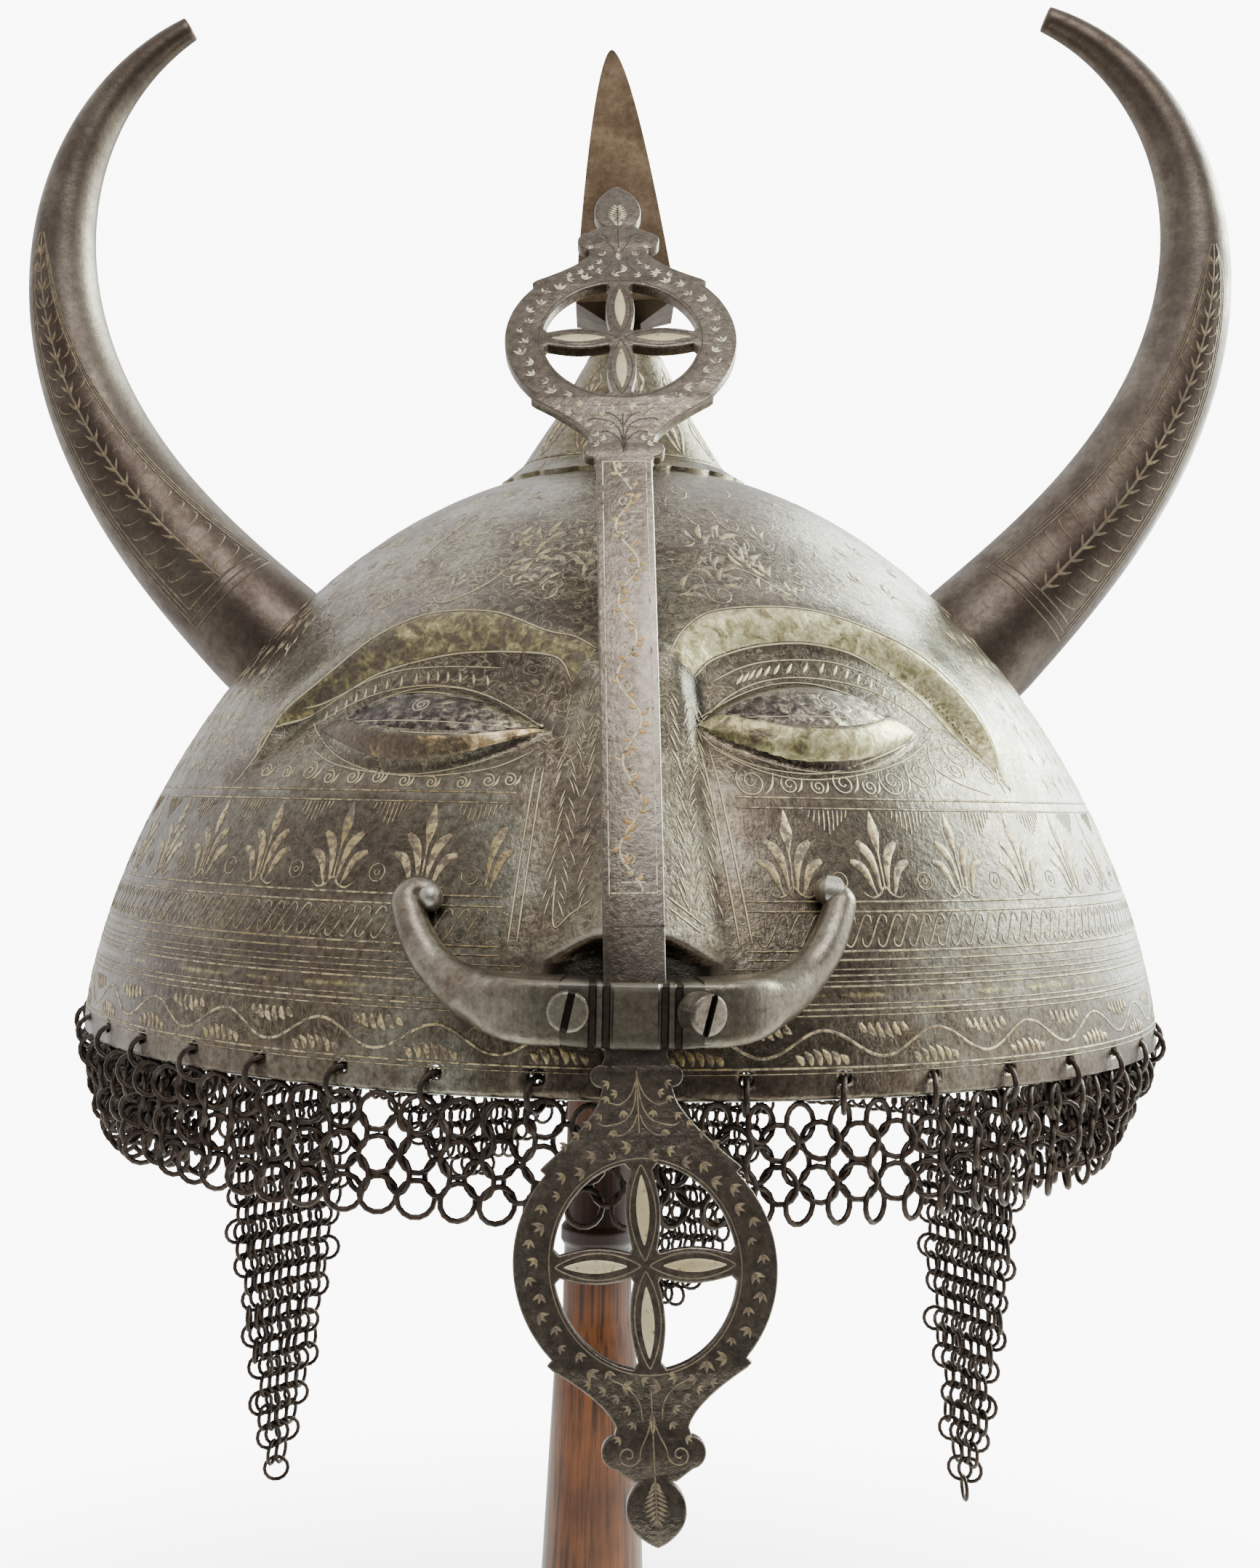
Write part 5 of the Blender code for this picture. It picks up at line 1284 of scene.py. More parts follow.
finialDrawing = {"arcs": [((0.1, -26.2), (0.5, -22.6), (1.9, -20.3), (4.6, -19.5), (5.8, -19.9)),
                          ((0.1, -26.0), (1.0, -23.8), (2.6, -22.5), (4.0, -22.7)),
                          ((0.2, -21.0), (0.9, -19.4), (2.4, -18.2), (4.2, -18.3)),
                          ((5.8, 15.2), (3.2, 16.6), (1.7, 18.6), (1.4, 20.8)),
                          ((0.3, 21.4), (0.9, 23.0), (1.7, 24.6), (2.1, 26.4))],
                 "hands": ((4.0, -25.6, 30), (2.9, -24.2, 20), (4.3, -23.6, 60), (5.4, -21.2, 50), (6.9, -20.0, 40),
                           (8.6, -18.4, 30), (10.4, -17.0, 30), (2.2, -21.6, 100), (3.6, -18.9, 80), (3.0, 19.2, 30),
                           (4.6, 17.6, 40), (6.4, 16.6, 30), (8.4, 15.8, 20), (2.6, 21.2, 60), (4.6, 23.2, 40)),
                 "ringHands": 40, "points": 120}


def finialStrokes(row):
    # Hands of leaves round the ring, lens outlines on the cross, arcs in the collar, scrolls with a bud
    # in the neck and a spray on the leaf
    fine, filled, petals = [], [], []
    n, hands = finialDrawing["points"], finialDrawing["ringHands"]
    t = np.linspace(0, 2 * math.pi, n)
    fine.append((join((row["holeX"] + 0.6) * np.cos(t), (row["holeT"] + 0.6) * np.sin(t)), np.full(n, 0.2)))
    middle = (row["holeX"] + row["ring"]) / 2
    for k in range(hands):
        angle = 2 * math.pi * (k + 0.5) / hands
        out = np.array([math.cos(angle), math.sin(angle)]) * (middle + (0.8 if k % 2 else -0.5))
        heading = math.degrees(angle) + (75 if out[0] > 0 else -75) * (0.8 + 0.5 * (k % 2)) + chance.uniform(-25, 25)
        filled += prongs(*out, heading, chance.uniform(1.1, 1.7))
    for turn in range(4):
        reach = row["holeT"] if turn % 2 else row["holeX"]
        c, s = math.cos(turn * math.pi / 2), math.sin(turn * math.pi / 2)
        f = np.linspace(0, 1, n)
        for way in (-1, 1):
            x, y = (0.05 + 0.93 * f) * reach, way * 1.85 * np.sin(math.pi * f) ** 0.8
            fine.append((join(x * c - y * s, x * s + y * c), np.full(n, 0.24)))
        line = np.linspace(0.2, 0.88, 12) * reach
        petals.append((join(line * c, line * s), 2.1 * np.sin(np.linspace(0.06, 3.08, 12)) ** 0.8))
    fine += mirrored([(through(path, n), np.full(n, 0.24)) for path in finialDrawing["arcs"]]
                     + [spiralStroke(3.6, 25.6, 1.6, 1.4, 180, -1, 0.26, n)])
    fine += [(through([(0, 16.6), (0, 35.0)], n), np.full(n, 0.24)),
             (through([(0, -27.2), (0, -18.4)], n), np.full(n, 0.24))]
    for x, place, angle in finialDrawing["hands"]:
        filled += prongs(x, place, angle, 1.1) + prongs(-x, place, 180 - angle, 1.1)
    filled.append((np.linspace((0, 20.0), (0, 23.0), 5), 1.1 * leafWidths))
    for k in range(9):
        t0, wide = 29.6 + 0.62 * k, 1.7 * math.sin(math.pi * (k + 1.5) / 11)
        filled += mirrored([(np.linspace((0.1, t0 - 0.3), (wide, t0 + 0.5), 5), 0.5 * leafWidths)])
    flip = np.array([1, row["way"]])
    place = lambda items: stackStrokes([(p * flip + (0, row["s"]), w) for p, w in items])
    return [place(fine), place(filled), place(petals)]


barDrawing = {"from": 17.2, "to": 92.0, "half": 3.5, "ends": [(17.2, 1.0), (18.8, 0.5), (92.0, 1.0)], "notch": 12.4,
              "waves": [(1.55, 13.6), (0.35, 31)], "leaves": 56, "leafStep": 1.3, "curls": 11, "curlStep": 6.8}


def nasalOrnament():
    # A thin vine with gilt leaves between broken border lines on the bar, and the finials' strokes
    chart = {"body": "nasal", "slot": "nasal_steel", "scale": lambda v: 1.0, "rise": lambda v: 1.0,
             "place": lambda u, v, lift: onNasal(u, v, -nasal["thick"] / 2 - lift)}
    s, half = np.linspace(barDrawing["from"], barDrawing["to"], 300), barDrawing["half"]
    borders = [oneStroke(x, s, 0.2) for x in (-half, half)]
    sway = lambda v: sum(swing * np.sin(v * 2 * math.pi / pitch) for swing, pitch in barDrawing["waves"])
    vine = [oneStroke(sway(s), s, 0.44)]
    across = np.linspace(-half, half, 10)
    ends = [oneStroke(across * share, level, 0.26) for level, share in barDrawing["ends"]]
    leaves = []
    for k in range(barDrawing["leaves"]):
        v = 19.0 + barDrawing["leafStep"] * k + chance.uniform(-0.4, 0.4)
        way = 1 if (k * 7) % 10 < 7 else -1
        base = np.array([float(sway(v)), v])
        tip = base + (way * chance.uniform(0.7, 1.5), chance.uniform(-0.6, 1.7))
        leaves.append((through([base, (base + tip) / 2 + (0.15 * way, -0.2), tip], 5),
                       chance.uniform(0.7, 1.2) * leafWidths))
    curls = []
    for k in range(barDrawing["curls"]):
        v = 22.5 + barDrawing["curlStep"] * k
        way = -1 if k % 2 else 1
        curls.append(spiralStroke(float(sway(v)) + way * 1.1, v, 1.2, 1.2, 180 if way > 0 else 0, way, 0.3, 20))
    gilt, plain = finialStrokes(finials["lower"]), finialStrokes(finials["upper"])
    notch = [oneStroke(across * 1.28, barDrawing["notch"], 0.5)]
    ribbons("nasalEngraving", borders + vine + ends + notch + gilt + plain + [stackStrokes(curls)], chart, 0.02, 0.06,
            engraved)
    ribbons("nasalLeaves", [stackStrokes(leaves)], chart, 0.05, -0.04, leafGold)
    ribbons("nasalInlay", [gilt[2], plain[2]], chart, 0.05, -0.04, paleGold)
    ribbons("nasalTracery", borders + ends + vine + [stackStrokes(curls), plain[1]], chart, 0.05, 0.02, palestGold)
    ribbons("nasalLowTracery", gilt[:2], chart, 0.05, -0.06, hornGold)


nasalPlate()
nasalOrnament()


# Moustache bracket and its screws

bracket = {"left": -16.5, "right": 14.5, "low": 9.1, "high": 18.4, "radius": 113.7, "panelX": 0.5,
           "panelRise": 0.5, "grooves": [4.2, 6.2], "grooveDepth": 0.6, "grooveSteps": [-0.62, -0.38, 0.0, 0.38, 0.62],
           "panelSteps": [-3.45, -3.15, -2.0, -1.0, 0, 1.0, 2.0, 3.15, 3.45],
           "slotHalf": 4.95, "slotGap": 0.2}
arms = {"left": {"side": -1, "height": 12.75, "bend": 29.6, "bendHeight": 12.0, "end": 36.2, "endHeight": 27.7,
                 "curl": 1.9, "turn": 160.0, "bead": 0.14},
        "right": {"side": 1, "height": 12.75, "bend": 27.2, "bendHeight": 12.8, "end": 33.6, "endHeight": 28.6,
                  "curl": 1.9, "turn": 80.0, "bead": 0.34}}
armShape = {"start": 9.6, "thick": 4.05, "thin": 1.8, "tall": 4.85, "deep": 5.36, "square": 8.0, "sides": 40}
screws = {"screwLeft": {"node": "screw_left", "x": -9.2, "out": 0.3, "leanX": 1.0, "leanZ": -1.0, "slot": -12.0,
                        "shank": 0.0},
          "screwRight": {"node": "screw_right", "x": 10.3, "out": 1.2, "leanX": 3.0, "leanZ": 29.0, "slot": -14.0,
                         "shank": 2.4}}
screwShape = {"z": 14.4, "radius": 3.1, "height": 1.6, "slotHalf": 0.55, "slotDepth": 0.85}


def armLine(row):
    # A quadratic curve along the bowl, then a small curl, as arc length and height
    f = np.linspace(0, 1, 60)[:, None]
    a, b, c = (np.array(p) for p in ((armShape["start"], row["height"]), (row["bend"], row["bendHeight"]),
                                     (row["end"], row["endHeight"])))
    sweep = a * (1 - f) ** 2 + b * 2 * f * (1 - f) + c * f * f
    turn = np.radians(np.linspace(0, row["turn"], 31)[1:])
    curl = c - (row["curl"], 0) + join(np.cos(turn), np.sin(turn)) * row["curl"]
    return np.concatenate([sweep, curl])


def armPiece(row):
    # The plate's squared section, (|cos|, |sin|) ^ (2 / power), becomes round and thins along the line,
    # resting on the bowl; a round bead closes its end
    line = armLine(row)
    f = np.linspace(0, 1, len(line))
    plain = armShape["thick"] + (armShape["thin"] - armShape["thick"]) * f ** 0.9
    blend = smoothStep(0.05, 0.44, f)
    tall = armShape["tall"] * (1 - blend) + plain * blend
    deep = armShape["deep"] * (1 - blend) + plain * blend
    swell = 1 + row["bead"] * np.exp(-((f - 0.985) / 0.035) ** 2)
    tall, deep = tall * swell, deep * swell
    power = 2 / (armShape["square"] + (2 - armShape["square"]) * smoothStep(0.03, 0.24, f))
    phi = row["side"] * np.degrees(line[:, 0] / bowl["radius"])
    centre = onBowl(phi, line[:, 1], deep + 0.1)
    heading = unit(np.gradient(centre, axis=0))
    outward = unit(centre * (1, 1, 0))
    across = unit(np.cross(heading, outward))
    over = np.cross(across, heading)
    turn = np.linspace(0, 2 * math.pi, armShape["sides"], endpoint=False)
    c, s = np.cos(turn)[None], np.sin(turn)[None]
    c, s = np.sign(c) * np.abs(c) ** power[:, None], np.sign(s) * np.abs(s) ** power[:, None]
    c, s = (tall[:, None] * c)[..., None], (deep[:, None] * s)[..., None]
    loops = centre[:, None] + c * across[:, None] + s * over[:, None]
    bead = np.radians(np.array([30, 55, 75]))[:, None, None]
    end = loops[-1:] - centre[-1]
    loops = np.concatenate([loops, centre[-1] + end * np.cos(bead) + heading[-1] * tall[-1] * np.sin(bead)])
    sides = armShape["sides"]
    count = len(loops) * sides
    tips = np.stack([centre[0], centre[-1] + heading[-1] * tall[-1]])
    faces = [gridFaces(len(loops), sides, closed=True)[:, ::-1], fan(np.arange(sides), count),
             fan(count - sides + np.arange(sides), count + 1, upwards=False)]
    return np.concatenate([loops.reshape(-1, 3), tips]), faces


def slab(x, front, back, z):
    # A closed slab between two height fields over one grid
    border = gridBorder(*x.shape)
    after = np.roll(border, -1)
    wall = join(border, border + x.size, after + x.size, after)
    points = np.concatenate([join(x, y, z).reshape(-1, 3) for y in (front, back)])
    return points, [gridFaces(*x.shape), gridFaces(*x.shape, start=x.size)[:, ::-1], wall]


def bracketPlate():
    # A plate bent round the bowl whose front is a height field, a raised panel between grooves; its back
    # leaves the bar's slot free, and a bridge closes the slot towards the bowl
    edges = [bracket["panelX"] + side * offset + step for side in (-1, 1) for offset in bracket["grooves"]
             for step in bracket["grooveSteps"]]
    panel = bracket["panelX"] + np.array(bracket["panelSteps"])
    plain = [bracket["left"], bracket["left"] + 0.4, -14.5, -12.5, -10.5, -8.5, 9.0, 10.5, 12.5,
             bracket["right"] - 0.4, bracket["right"]]
    slot = bracket["panelX"] + np.array([-1, 1]) * [[bracket["slotHalf"]], [bracket["slotHalf"] + 0.05]]
    xs = np.unique(np.concatenate([edges, panel, plain, slot.ravel()]))
    xs = xs[(xs > -13.0) & (xs < 12.6)]
    low, high = bracket["low"], bracket["high"]
    zs = np.array([low, low + 0.35, low + 1.2, 12, 14, 16, high - 1.2, high - 0.35, high])
    x, z = np.meshgrid(xs, zs)
    z = high - (high - z) * (1 - 0.0013 * np.maximum(np.abs(x - bracket["panelX"]) - 5, 0) ** 2)
    away = np.abs(x - bracket["panelX"])
    rise = bracket["panelRise"] * smoothStep(*bracket["panelSteps"][:-3:-1], away)
    for offset in bracket["grooves"]:
        rise = rise - bracket["grooveDepth"] * smoothStep(0.6, 0.35, np.abs(away - offset))
    brim = np.minimum(z - z[:1], high - z)
    rise = rise - 0.45 * smoothStep(0.35, 0.0, brim)
    front = join(x, -np.sqrt((bracket["radius"] + rise) ** 2 - x * x), z)
    bowlY = lambda x, z: -np.sqrt((bowlRadius(z) + 0.1) ** 2 - x * x)
    slotY = lambda x, z, way: onNasal(x - nasal["x"], 1.01 * (z - nasal["z"]),
                                      way * (nasal["thick"] / 2 + bracket["slotGap"]))[..., 1]
    backY = np.where(away < bracket["slotHalf"] + 0.01, np.maximum(slotY(x, z, -1), front[..., 1] + 0.1), bowlY(x, z))
    bridgeX, bridgeZ = np.meshgrid(bracket["panelX"] + (bracket["slotHalf"] + 0.1) * np.linspace(-1, 1, 7), zs)
    blocks = [slab(x, front[..., 1], backY, z),
              slab(bridgeX, slotY(bridgeX, bridgeZ, 1), bowlY(bridgeX, bridgeZ), bridgeZ)]
    plates = len(blocks)
    blocks += [armPiece(row) for row in arms.values()]
    starts = np.cumsum([0] + [len(points) for points, parts in blocks])
    faces = [part + start for start, (points, parts) in zip(starts, blocks) for part in parts]
    piece = makeMesh("bracketPlate", np.concatenate([points for points, parts in blocks]), faces, bracketSteel,
                     sharp=40)
    wearShadeAndHighlight = np.zeros((starts[-1], 3))
    dark = sum(smoothStep(0.85, 0.3, np.abs(away - offset)) for offset in bracket["grooves"])
    wearShadeAndHighlight[:x.size, 1] = 0.75 * dark.ravel()
    wearShadeAndHighlight[:x.size, 2] = (0.45 * (brim < 0.4) * (1 - dark)).ravel()
    for start, end in zip(starts[plates:], starts[plates + 1:]):
        wearShadeAndHighlight[start:end, 2] = 0.75 * smoothStep(0.84, 0.94, np.arange(end - start) / (end - start))
    paintLayer(piece, "wearShadeAndHighlight", wearShadeAndHighlight)
    dress(piece, "helmet", "bracket_steel", "moustache_bracket")


def screwPiece(name, row):
    # The head's top is a grid of chords, a low dome less the slot; its edge drops to the seat
    r, h = screwShape["radius"], screwShape["height"]
    w = screwShape["slotHalf"]
    xs = np.concatenate([-r * np.cos(np.linspace(0.08, 1.35, 14)), [-w - 0.001, -w, 0, w, w + 0.001],
                         r * np.cos(np.linspace(1.35, 0.08, 14))])
    cut = np.abs(xs) <= w
    t = np.sin(np.linspace(-math.pi / 2, math.pi / 2, 19))
    x, f = np.meshgrid(xs, t)
    y = f * np.sqrt(np.maximum(r * r - x * x, 0))
    edge = np.clip((r - np.hypot(x, y)) / 0.7, 0, 1)
    top = h * (0.72 + 0.28 * np.sqrt(1 - (1 - edge) ** 2)) - np.where(cut, screwShape["slotDepth"], 0)[None, :]
    local = join(x, y, top).reshape(-1, 3)
    border = gridBorder(*x.shape)
    skirt = local[border] * (1, 1, 0) - (0, 0, row["shank"])
    after = np.roll(np.arange(len(border)), -1)
    count = len(local)
    wall = join(border, count + np.arange(len(border)), count + after, border[after])
    floor = fan(count + np.arange(len(border)), count + len(border), upwards=False)
    local = np.concatenate([local, skirt, [[0, 0, -row["shank"]]]])
    turn = math.radians(row["slot"])
    u = local[:, 0] * math.cos(turn) - local[:, 1] * math.sin(turn)
    v = local[:, 0] * math.sin(turn) + local[:, 1] * math.cos(turn)
    points = join(u, -local[:, 2], v)
    ax, az = math.radians(row["leanX"]), math.radians(row["leanZ"])
    turnX = np.array([[1, 0, 0], [0, math.cos(ax), -math.sin(ax)], [0, math.sin(ax), math.cos(ax)]])
    turnZ = np.array([[math.cos(az), -math.sin(az), 0], [math.sin(az), math.cos(az), 0], [0, 0, 1]])
    seat = np.array([row["x"], -math.sqrt(bracket["radius"] ** 2 - row["x"] ** 2) - row["out"], screwShape["z"]])
    points = points @ (turnZ @ turnX).T + seat
    faces = [gridFaces(*x.shape), wall, floor]
    piece = makeMesh(name, points, faces, screwSteel, sharp=40)
    wearShadeAndHighlight = np.zeros((len(points), 3))
    # Green: dirt and painted shade on the slot's floor, and darker round the head's edge
    wearShadeAndHighlight[:x.size, 1] = (0.95 * cut + 0.6 * (edge < 0.3)).ravel()
    paintLayer(piece, "wearShadeAndHighlight", np.clip(wearShadeAndHighlight, 0, 1))
    dress(piece, "helmet", "screw_steel", row["node"])


bracketPlate()
for name, row in screws.items():
    screwPiece(name, row)


# Mail

mail = {"radius": 104.5, "tuckLeft": 0.35, "tuckRight": 0.65, "tuckAngle": 80.0, "tuckSpread": 28.0, "band": 17.0,
        "bandBack": 30.0, "blendFrom": 95.0, "blendTo": 120.0, "seam": 104.0,
        "hangRadius": 104.2, "hangHeight": 0.8, "ringSteps": 14, "ringSides": 5}
mailPoints = [(-130.8, 10.8, 121.8, 1.4), (125.6, 10.4, 118.5, 1.4), (172.0, 16.0, 86.5, 1.6),
              (-160.0, 14.0, 52.0, 1.6)]
frontRings = {"columns": 102, "spacing": 3.15, "first": 2.9, "radius": 2.78, "wire": 0.95, "swing": 28.0, "lean": 0.0}
backRings = {"columns": 98, "spacing": 4.2, "first": 3.3, "radius": 2.74, "wire": 0.98, "swing": 28.0, "lean": 0.0}
sideRings = {"from": 38.0, "swing": 16.0, "inward": 3.9}


def mailDrop(phi):
    # The band's depth, deeper behind, and the points' rounded arches below it
    behind = smoothStep(mail["blendFrom"], mail["blendTo"], np.abs(phi))
    band = mail["band"] + (mail["bandBack"] - mail["band"]) * behind
    drop = band.copy()
    for angle, half, length, roundness in mailPoints:
        away = np.abs((phi - angle + 180) % 360 - 180) / half
        drop = np.maximum(drop, np.where(away < 1, band + (length - band) * (1 - np.minimum(away, 1) ** roundness), 0))
    return drop


def mailReach(phi, fall):
    # The curtain's radius, drawn in at the sides
    tuck = np.where(phi < 0, mail["tuckLeft"], mail["tuckRight"])
    lean = tuck * np.exp(-((np.abs(phi) - mail["tuckAngle"]) / mail["tuckSpread"]) ** 2)
    return mail["radius"] - lean * np.minimum(fall, mail["band"])


def ringField(phi, centre, swing, lean, radius, wire):
    # Tori: centre + (R + w cos b)(A cos a + B sin a) + w sin b N, where A, B and N are the ring's own
    # axes, made from the directions along, down and out by a swing about down and a lean about A
    turn = np.radians(phi)
    along = join(np.cos(turn), np.sin(turn), 0.0)
    out = roundAxis(1.0, phi, 0.0)
    down = np.broadcast_to([0.0, 0.0, -1.0], along.shape)
    s, l = np.radians(swing)[:, None], np.radians(lean)[:, None]
    a = along * np.cos(s) - out * np.sin(s)
    n0 = out * np.cos(s) + along * np.sin(s)
    b = down * np.cos(l) + n0 * np.sin(l)
    n = n0 * np.cos(l) - down * np.sin(l)
    steps, sides = mail["ringSteps"], mail["ringSides"]
    p = np.arange(steps) * 2 * math.pi / steps
    q = np.arange(sides) * 2 * math.pi / sides
    p = p[None] + chance.uniform(0, 6.28, len(phi))[:, None]
    circle = np.cos(p)[..., None] * a[:, None] + np.sin(p)[..., None] * b[:, None]
    inPlane, offPlane = radius + wire / 2 * np.cos(q), wire / 2 * np.sin(q)
    skin = inPlane[:, None] * circle[:, :, None] + offPlane[:, None] * n[:, None, None]
    points = centre[:, None, None] + skin
    index = np.arange(steps * sides).reshape(steps, sides)
    nextStep, nextSide = np.roll(index, -1, 0), np.roll(index, -1, 1)
    both = np.roll(nextStep, -1, 1)
    one = join(index, nextSide, both, nextStep).reshape(-1, 4)
    return points.reshape(-1, 3), copies(one, len(phi), steps * sides)


def mailLattice(rings, low, high, lowest, inward=0.0, phase=0.0):
    # Rows half a column apart that swing left and right in turn; a ring stays where the curtain is;
    # at the sides the rings turn further and lie less evenly, where the mail is bunched
    pitch = 360 / rings["columns"] if low < 0 else (360 - 2 * mail["seam"]) / rings["columns"]
    rows = np.arange(lowest)
    fall = rings["first"] + rings["spacing"] * rows
    count = int(round((high - low) / pitch))
    phi = low + pitch * (np.arange(count) + 0.5 + phase)[None] + pitch / 2 * (rows % 2)[:, None]
    fall = np.broadcast_to(fall[:, None], phi.shape)
    way = np.broadcast_to(np.where(rows % 2 == 0, 1.0, -1.0)[:, None], phi.shape)
    phi, fall, way = phi.ravel(), fall.ravel(), way.ravel()
    wrapped = (phi + 180) % 360 - 180
    ahead = np.abs(wrapped) < mail["seam"]
    side = smoothStep(sideRings["from"], sideRings["from"] + 20, np.abs(wrapped)) * ahead
    longer = np.where(np.abs(wrapped) > 72, 3.0, 0.0) * ahead
    keep = fall + 2.2 < mailDrop(wrapped) + 0.8 + longer
    if inward:
        keep = keep & (side > 0.2)
    phi, fall, way, side = wrapped[keep], fall[keep], way[keep], side[keep]
    k = len(phi)
    reach = mailReach(phi, fall) - inward + chance.normal(0, 0.12, k) * (1 + 2 * side)
    centre = roundAxis(reach, phi + chance.normal(0, 0.10, k) * (1 + side),
                       -0.4 - fall + 0.3 + chance.normal(0, 0.16, k) * (1 + side))
    swing = way * (rings["swing"] + sideRings["swing"] * side) + chance.normal(0, 6, k) * (1 + side)
    return ringField(phi, centre, swing, rings["lean"] + chance.normal(0, 3, k) * (1 + side), rings["radius"],
                     rings["wire"])


def mailCurtain():
    # Three layers of tori in front: the band, the rings that hang from the rim holes and, at the sides, an
    # inner layer; two lattices behind
    seam = mail["seam"]
    points, faces = mailLattice(frontRings, -seam, seam, 7)
    hang = roundAxis(mail["hangRadius"], holeAngles, mail["hangHeight"])
    hangers = ringField(holeAngles, hang, chance.uniform(42, 86, len(hang)), np.zeros(len(hang)), 2.7, 1.0)
    inner = mailLattice(frontRings, -seam, seam, 7, sideRings["inward"], 0.5)
    faces = [faces, hangers[1] + len(points), inner[1] + len(points) + len(hangers[0])]
    dress(makeMesh("mailFront", np.concatenate([points, hangers[0], inner[0]]), faces, mailWire), "helmet",
          "mail_wire", "mail_curtain")
    for name, low, high in (("mailBackRight", seam, 180), ("mailBackLeft", 180, 360 - seam)):
        points, faces = mailLattice(backRings, low, high, 28)
        dress(makeMesh(name, points, [faces], mailWire), "helmet", "mail_wire", "mail_curtain")


mailCurtain()


# Stand

post = {"sides": 96, "rows": [(8.3, 12.5), (68, 10.3), (109, 8.5), (120, 7.0), (134, 6.9), (135.2, 7.6), (137.6, 7.6),
                              (138.8, 6.8), (288.4, 6.4)]}
foot = {"sides": 128, "rows": [(0, 59.2), (0.8, 60), (12, 60), (13.6, 59.4), (15.2, 57.8), (16, 56), (16, 14),
                               (15.6, 12.9), (8, 12.8)]}


def turnedPiece(name, shape, node):
    # A profile of (height, radius) turned round a vertical axis, closed at both ends
    heights, radii = (np.array(c, float) for c in zip(*shape["rows"]))
    f = np.linspace(0, len(heights) - 1, 6 * (len(heights) - 1) + 1)
    z, r = np.interp(f, np.arange(len(heights)), heights), np.interp(f, np.arange(len(radii)), radii)
    turn = np.linspace(0, 2 * math.pi, shape["sides"], endpoint=False)
    points = join(r[:, None] * np.sin(turn), -r[:, None] * np.cos(turn), z[:, None])
    points, faces = tube(points, [[0, 0, z[0]], [0, 0, z[-1]]])
    points = points - (placing["shiftX"], 0, placing["rimHeight"])
    piece = makeMesh(name, points, faces, hardwood, sharp=40)
    height = points[:, 2] + placing["rimHeight"]
    # A dark ring on the bead, and painted shade on the post above it, where it rises among the mail under the helmet
    paintLayer(piece, "stain", 0.9 * band(height, 133.6, 139.0, 0.3) + 0.5 * smoothStep(138, 142, height))
    dress(piece, "helmet", "stand_wood", node)


turnedPiece("postTurned", post, "stand_post")
turnedPiece("footTurned", foot, "stand_foot")


# Floor, light and camera

studio = {"floor": "#f4f4f3", "floorRadius": 450.0, "white": 9.6, "dim": 0.17, "top": 0.7, "back": 0.95,
          "right": 2.0, "left": 0.8, "sky": "#fdfdfc", "aim": (0.0, 0.0, 0.22), "gap": 0.02}
lamps = [("keyRight", (1.0, 0.4, 0.78), 0.6, 37.0, "#f0fff5"), ("backRight", (0.65, 0.85, 0.85), 0.6, 13.0, "#f0fff5"),
         ("sideRight", (0.85, 0.9, 0.4), 0.5, 8.0, "#f0fff5"), ("topFront", (0.15, -0.75, 1.1), 0.8, 9.0, "#ffffff")]
photoCamera = {"lens": 42.56, "sensor": 36.0, "near": 0.01, "far": 20.0, "place": (-0.00148, -0.37796, 0.22514),
               "turns": [(-0.945, "Z"), (90.387, "X"), (1.062, "Z")]}


def studioFloor():
    # A flat round table top; far from the stand it is lit through, so that it meets the white behind it
    f = np.linspace(0.001, 1, 40)
    radius = studio["floorRadius"] * f
    turn = np.linspace(0, 2 * math.pi, 96, endpoint=False)
    points = join(radius[:, None] * np.sin(turn), -radius[:, None] * np.cos(turn), -studio["gap"])
    points = points.reshape(-1, 3) - (placing["shiftX"], 0, placing["rimHeight"])
    material, tree, shader, spot = startMaterial("matteFloor")
    mottle = addNode(tree, "TexNoise", {"Vector": spot, "Scale": 3.0, "Detail": 2.0})
    tone = addNode(tree, "ValToRGB", {"Fac": mottle}, [(0.3, studio["floor"]), (0.7, "#f8f8f7")])
    away = addNode(tree, "VectorMath", {0: spot}, operation="LENGTH")
    path = addNode(tree, "LightPath")
    far = addNode(tree, "MapRange", {"Value": away, "From Min": 0.08, "From Max": 0.3})
    seen = addNode(tree, "Math", {0: far, 1: (path, "Is Camera Ray")}, operation="MULTIPLY")
    faded = addNode(tree, "Mix", {"Factor": seen, "A": tone, "B": (0, 0, 0, 1)},
                    data_type="RGBA")
    glow = addNode(tree, "Math", {0: seen, 1: studio["white"]}, operation="MULTIPLY")
    setInputs(tree, shader, {"Base Color": faded, "Emission Color": (1, 1, 1, 1),
                             "Emission Strength": glow, "Roughness": 0.9})
    floor = makeMesh("studioFloor", points, [gridFaces(40, 96, closed=True)[:, ::-1]], material)


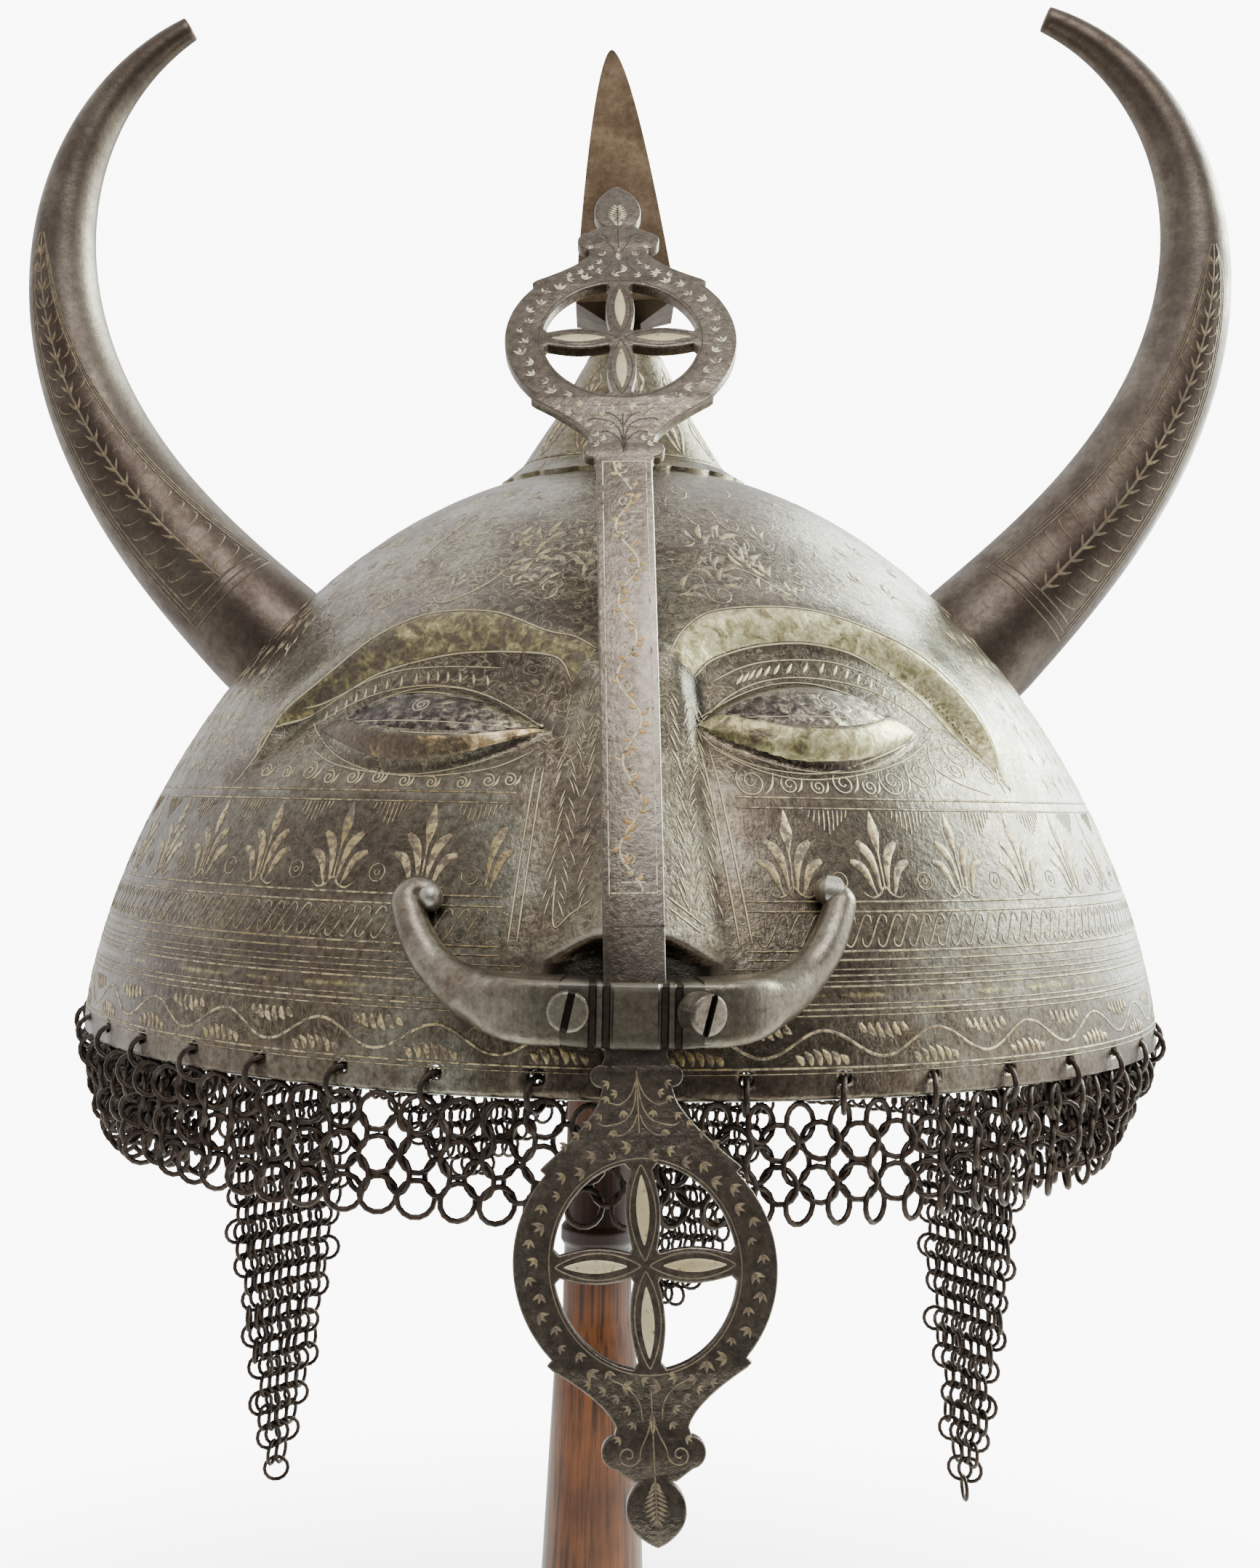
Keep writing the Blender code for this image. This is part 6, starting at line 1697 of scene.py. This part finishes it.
def addLight(name, place, size, power, colour):
    # A round lamp at the place, its face turned to the helmet
    lamp = bpy.data.lights.new(name, "AREA")
    lamp.shape = "DISK"
    lamp.size = size
    lamp.energy = power
    lamp.color = toLinear(colour)[:3]
    holder = bpy.data.objects.new(name, lamp)
    bpy.context.collection.objects.link(holder)
    holder.location = place
    direction = np.array(studio["aim"]) - np.array(place)
    holder.rotation_euler = (math.atan2(math.hypot(direction[0], direction[1]), -direction[2]), 0,
                             math.atan2(direction[1], direction[0]) - math.pi / 2)


def studioLight():
    # A pale room: bright overhead, behind and to the right, dim low down in front; seen white behind
    world = bpy.data.worlds.new("softRoom")
    bpy.context.scene.world = world
    world.use_nodes = True
    tree = world.node_tree
    place = addNode(tree, "TexCoord")
    parts = addNode(tree, "SeparateXYZ", {"Vector": (place, "Generated")})
    total = None
    for axis, low, high, power in (("Z", 0.3, 0.85, studio["top"]), ("Y", -0.1, 0.7, studio["back"]),
                                   ("X", 0.7, 0.96, studio["right"]), ("X", -0.2, -0.9, studio["left"])):
        share = addNode(tree, "MapRange", {"Value": (parts, axis), "From Min": low, "From Max": high,
                                           "To Max": power}, interpolation_type="SMOOTHSTEP")
        total = addNode(tree, "Math", {0: share, 1: total if total else studio["dim"]})
    path = addNode(tree, "LightPath")
    shown = addNode(tree, "Mix", {"Factor": (path, "Is Camera Ray"), "A": total,
                                  "B": studio["white"]})
    setInputs(tree, tree.nodes["Background"], {"Strength": shown, "Color": studio["sky"]})
    for lamp in lamps:
        addLight(*lamp)


def studioCamera():
    # Placed and turned as the photograph was taken
    camera = bpy.data.cameras.new("photoCamera")
    camera.lens = photoCamera["lens"]
    camera.sensor_width = photoCamera["sensor"]
    camera.clip_start = photoCamera["near"]
    camera.clip_end = photoCamera["far"]
    holder = bpy.data.objects.new("photoCamera", camera)
    bpy.context.collection.objects.link(holder)
    holder.location = photoCamera["place"]
    turn = [Matrix.Rotation(math.radians(a), 4, axis) for a, axis in photoCamera["turns"]]
    holder.rotation_euler = (turn[0] @ turn[1] @ turn[2]).to_euler()
    bpy.context.scene.camera = holder


studioFloor()
studioLight()
studioCamera()
print("studio ready")
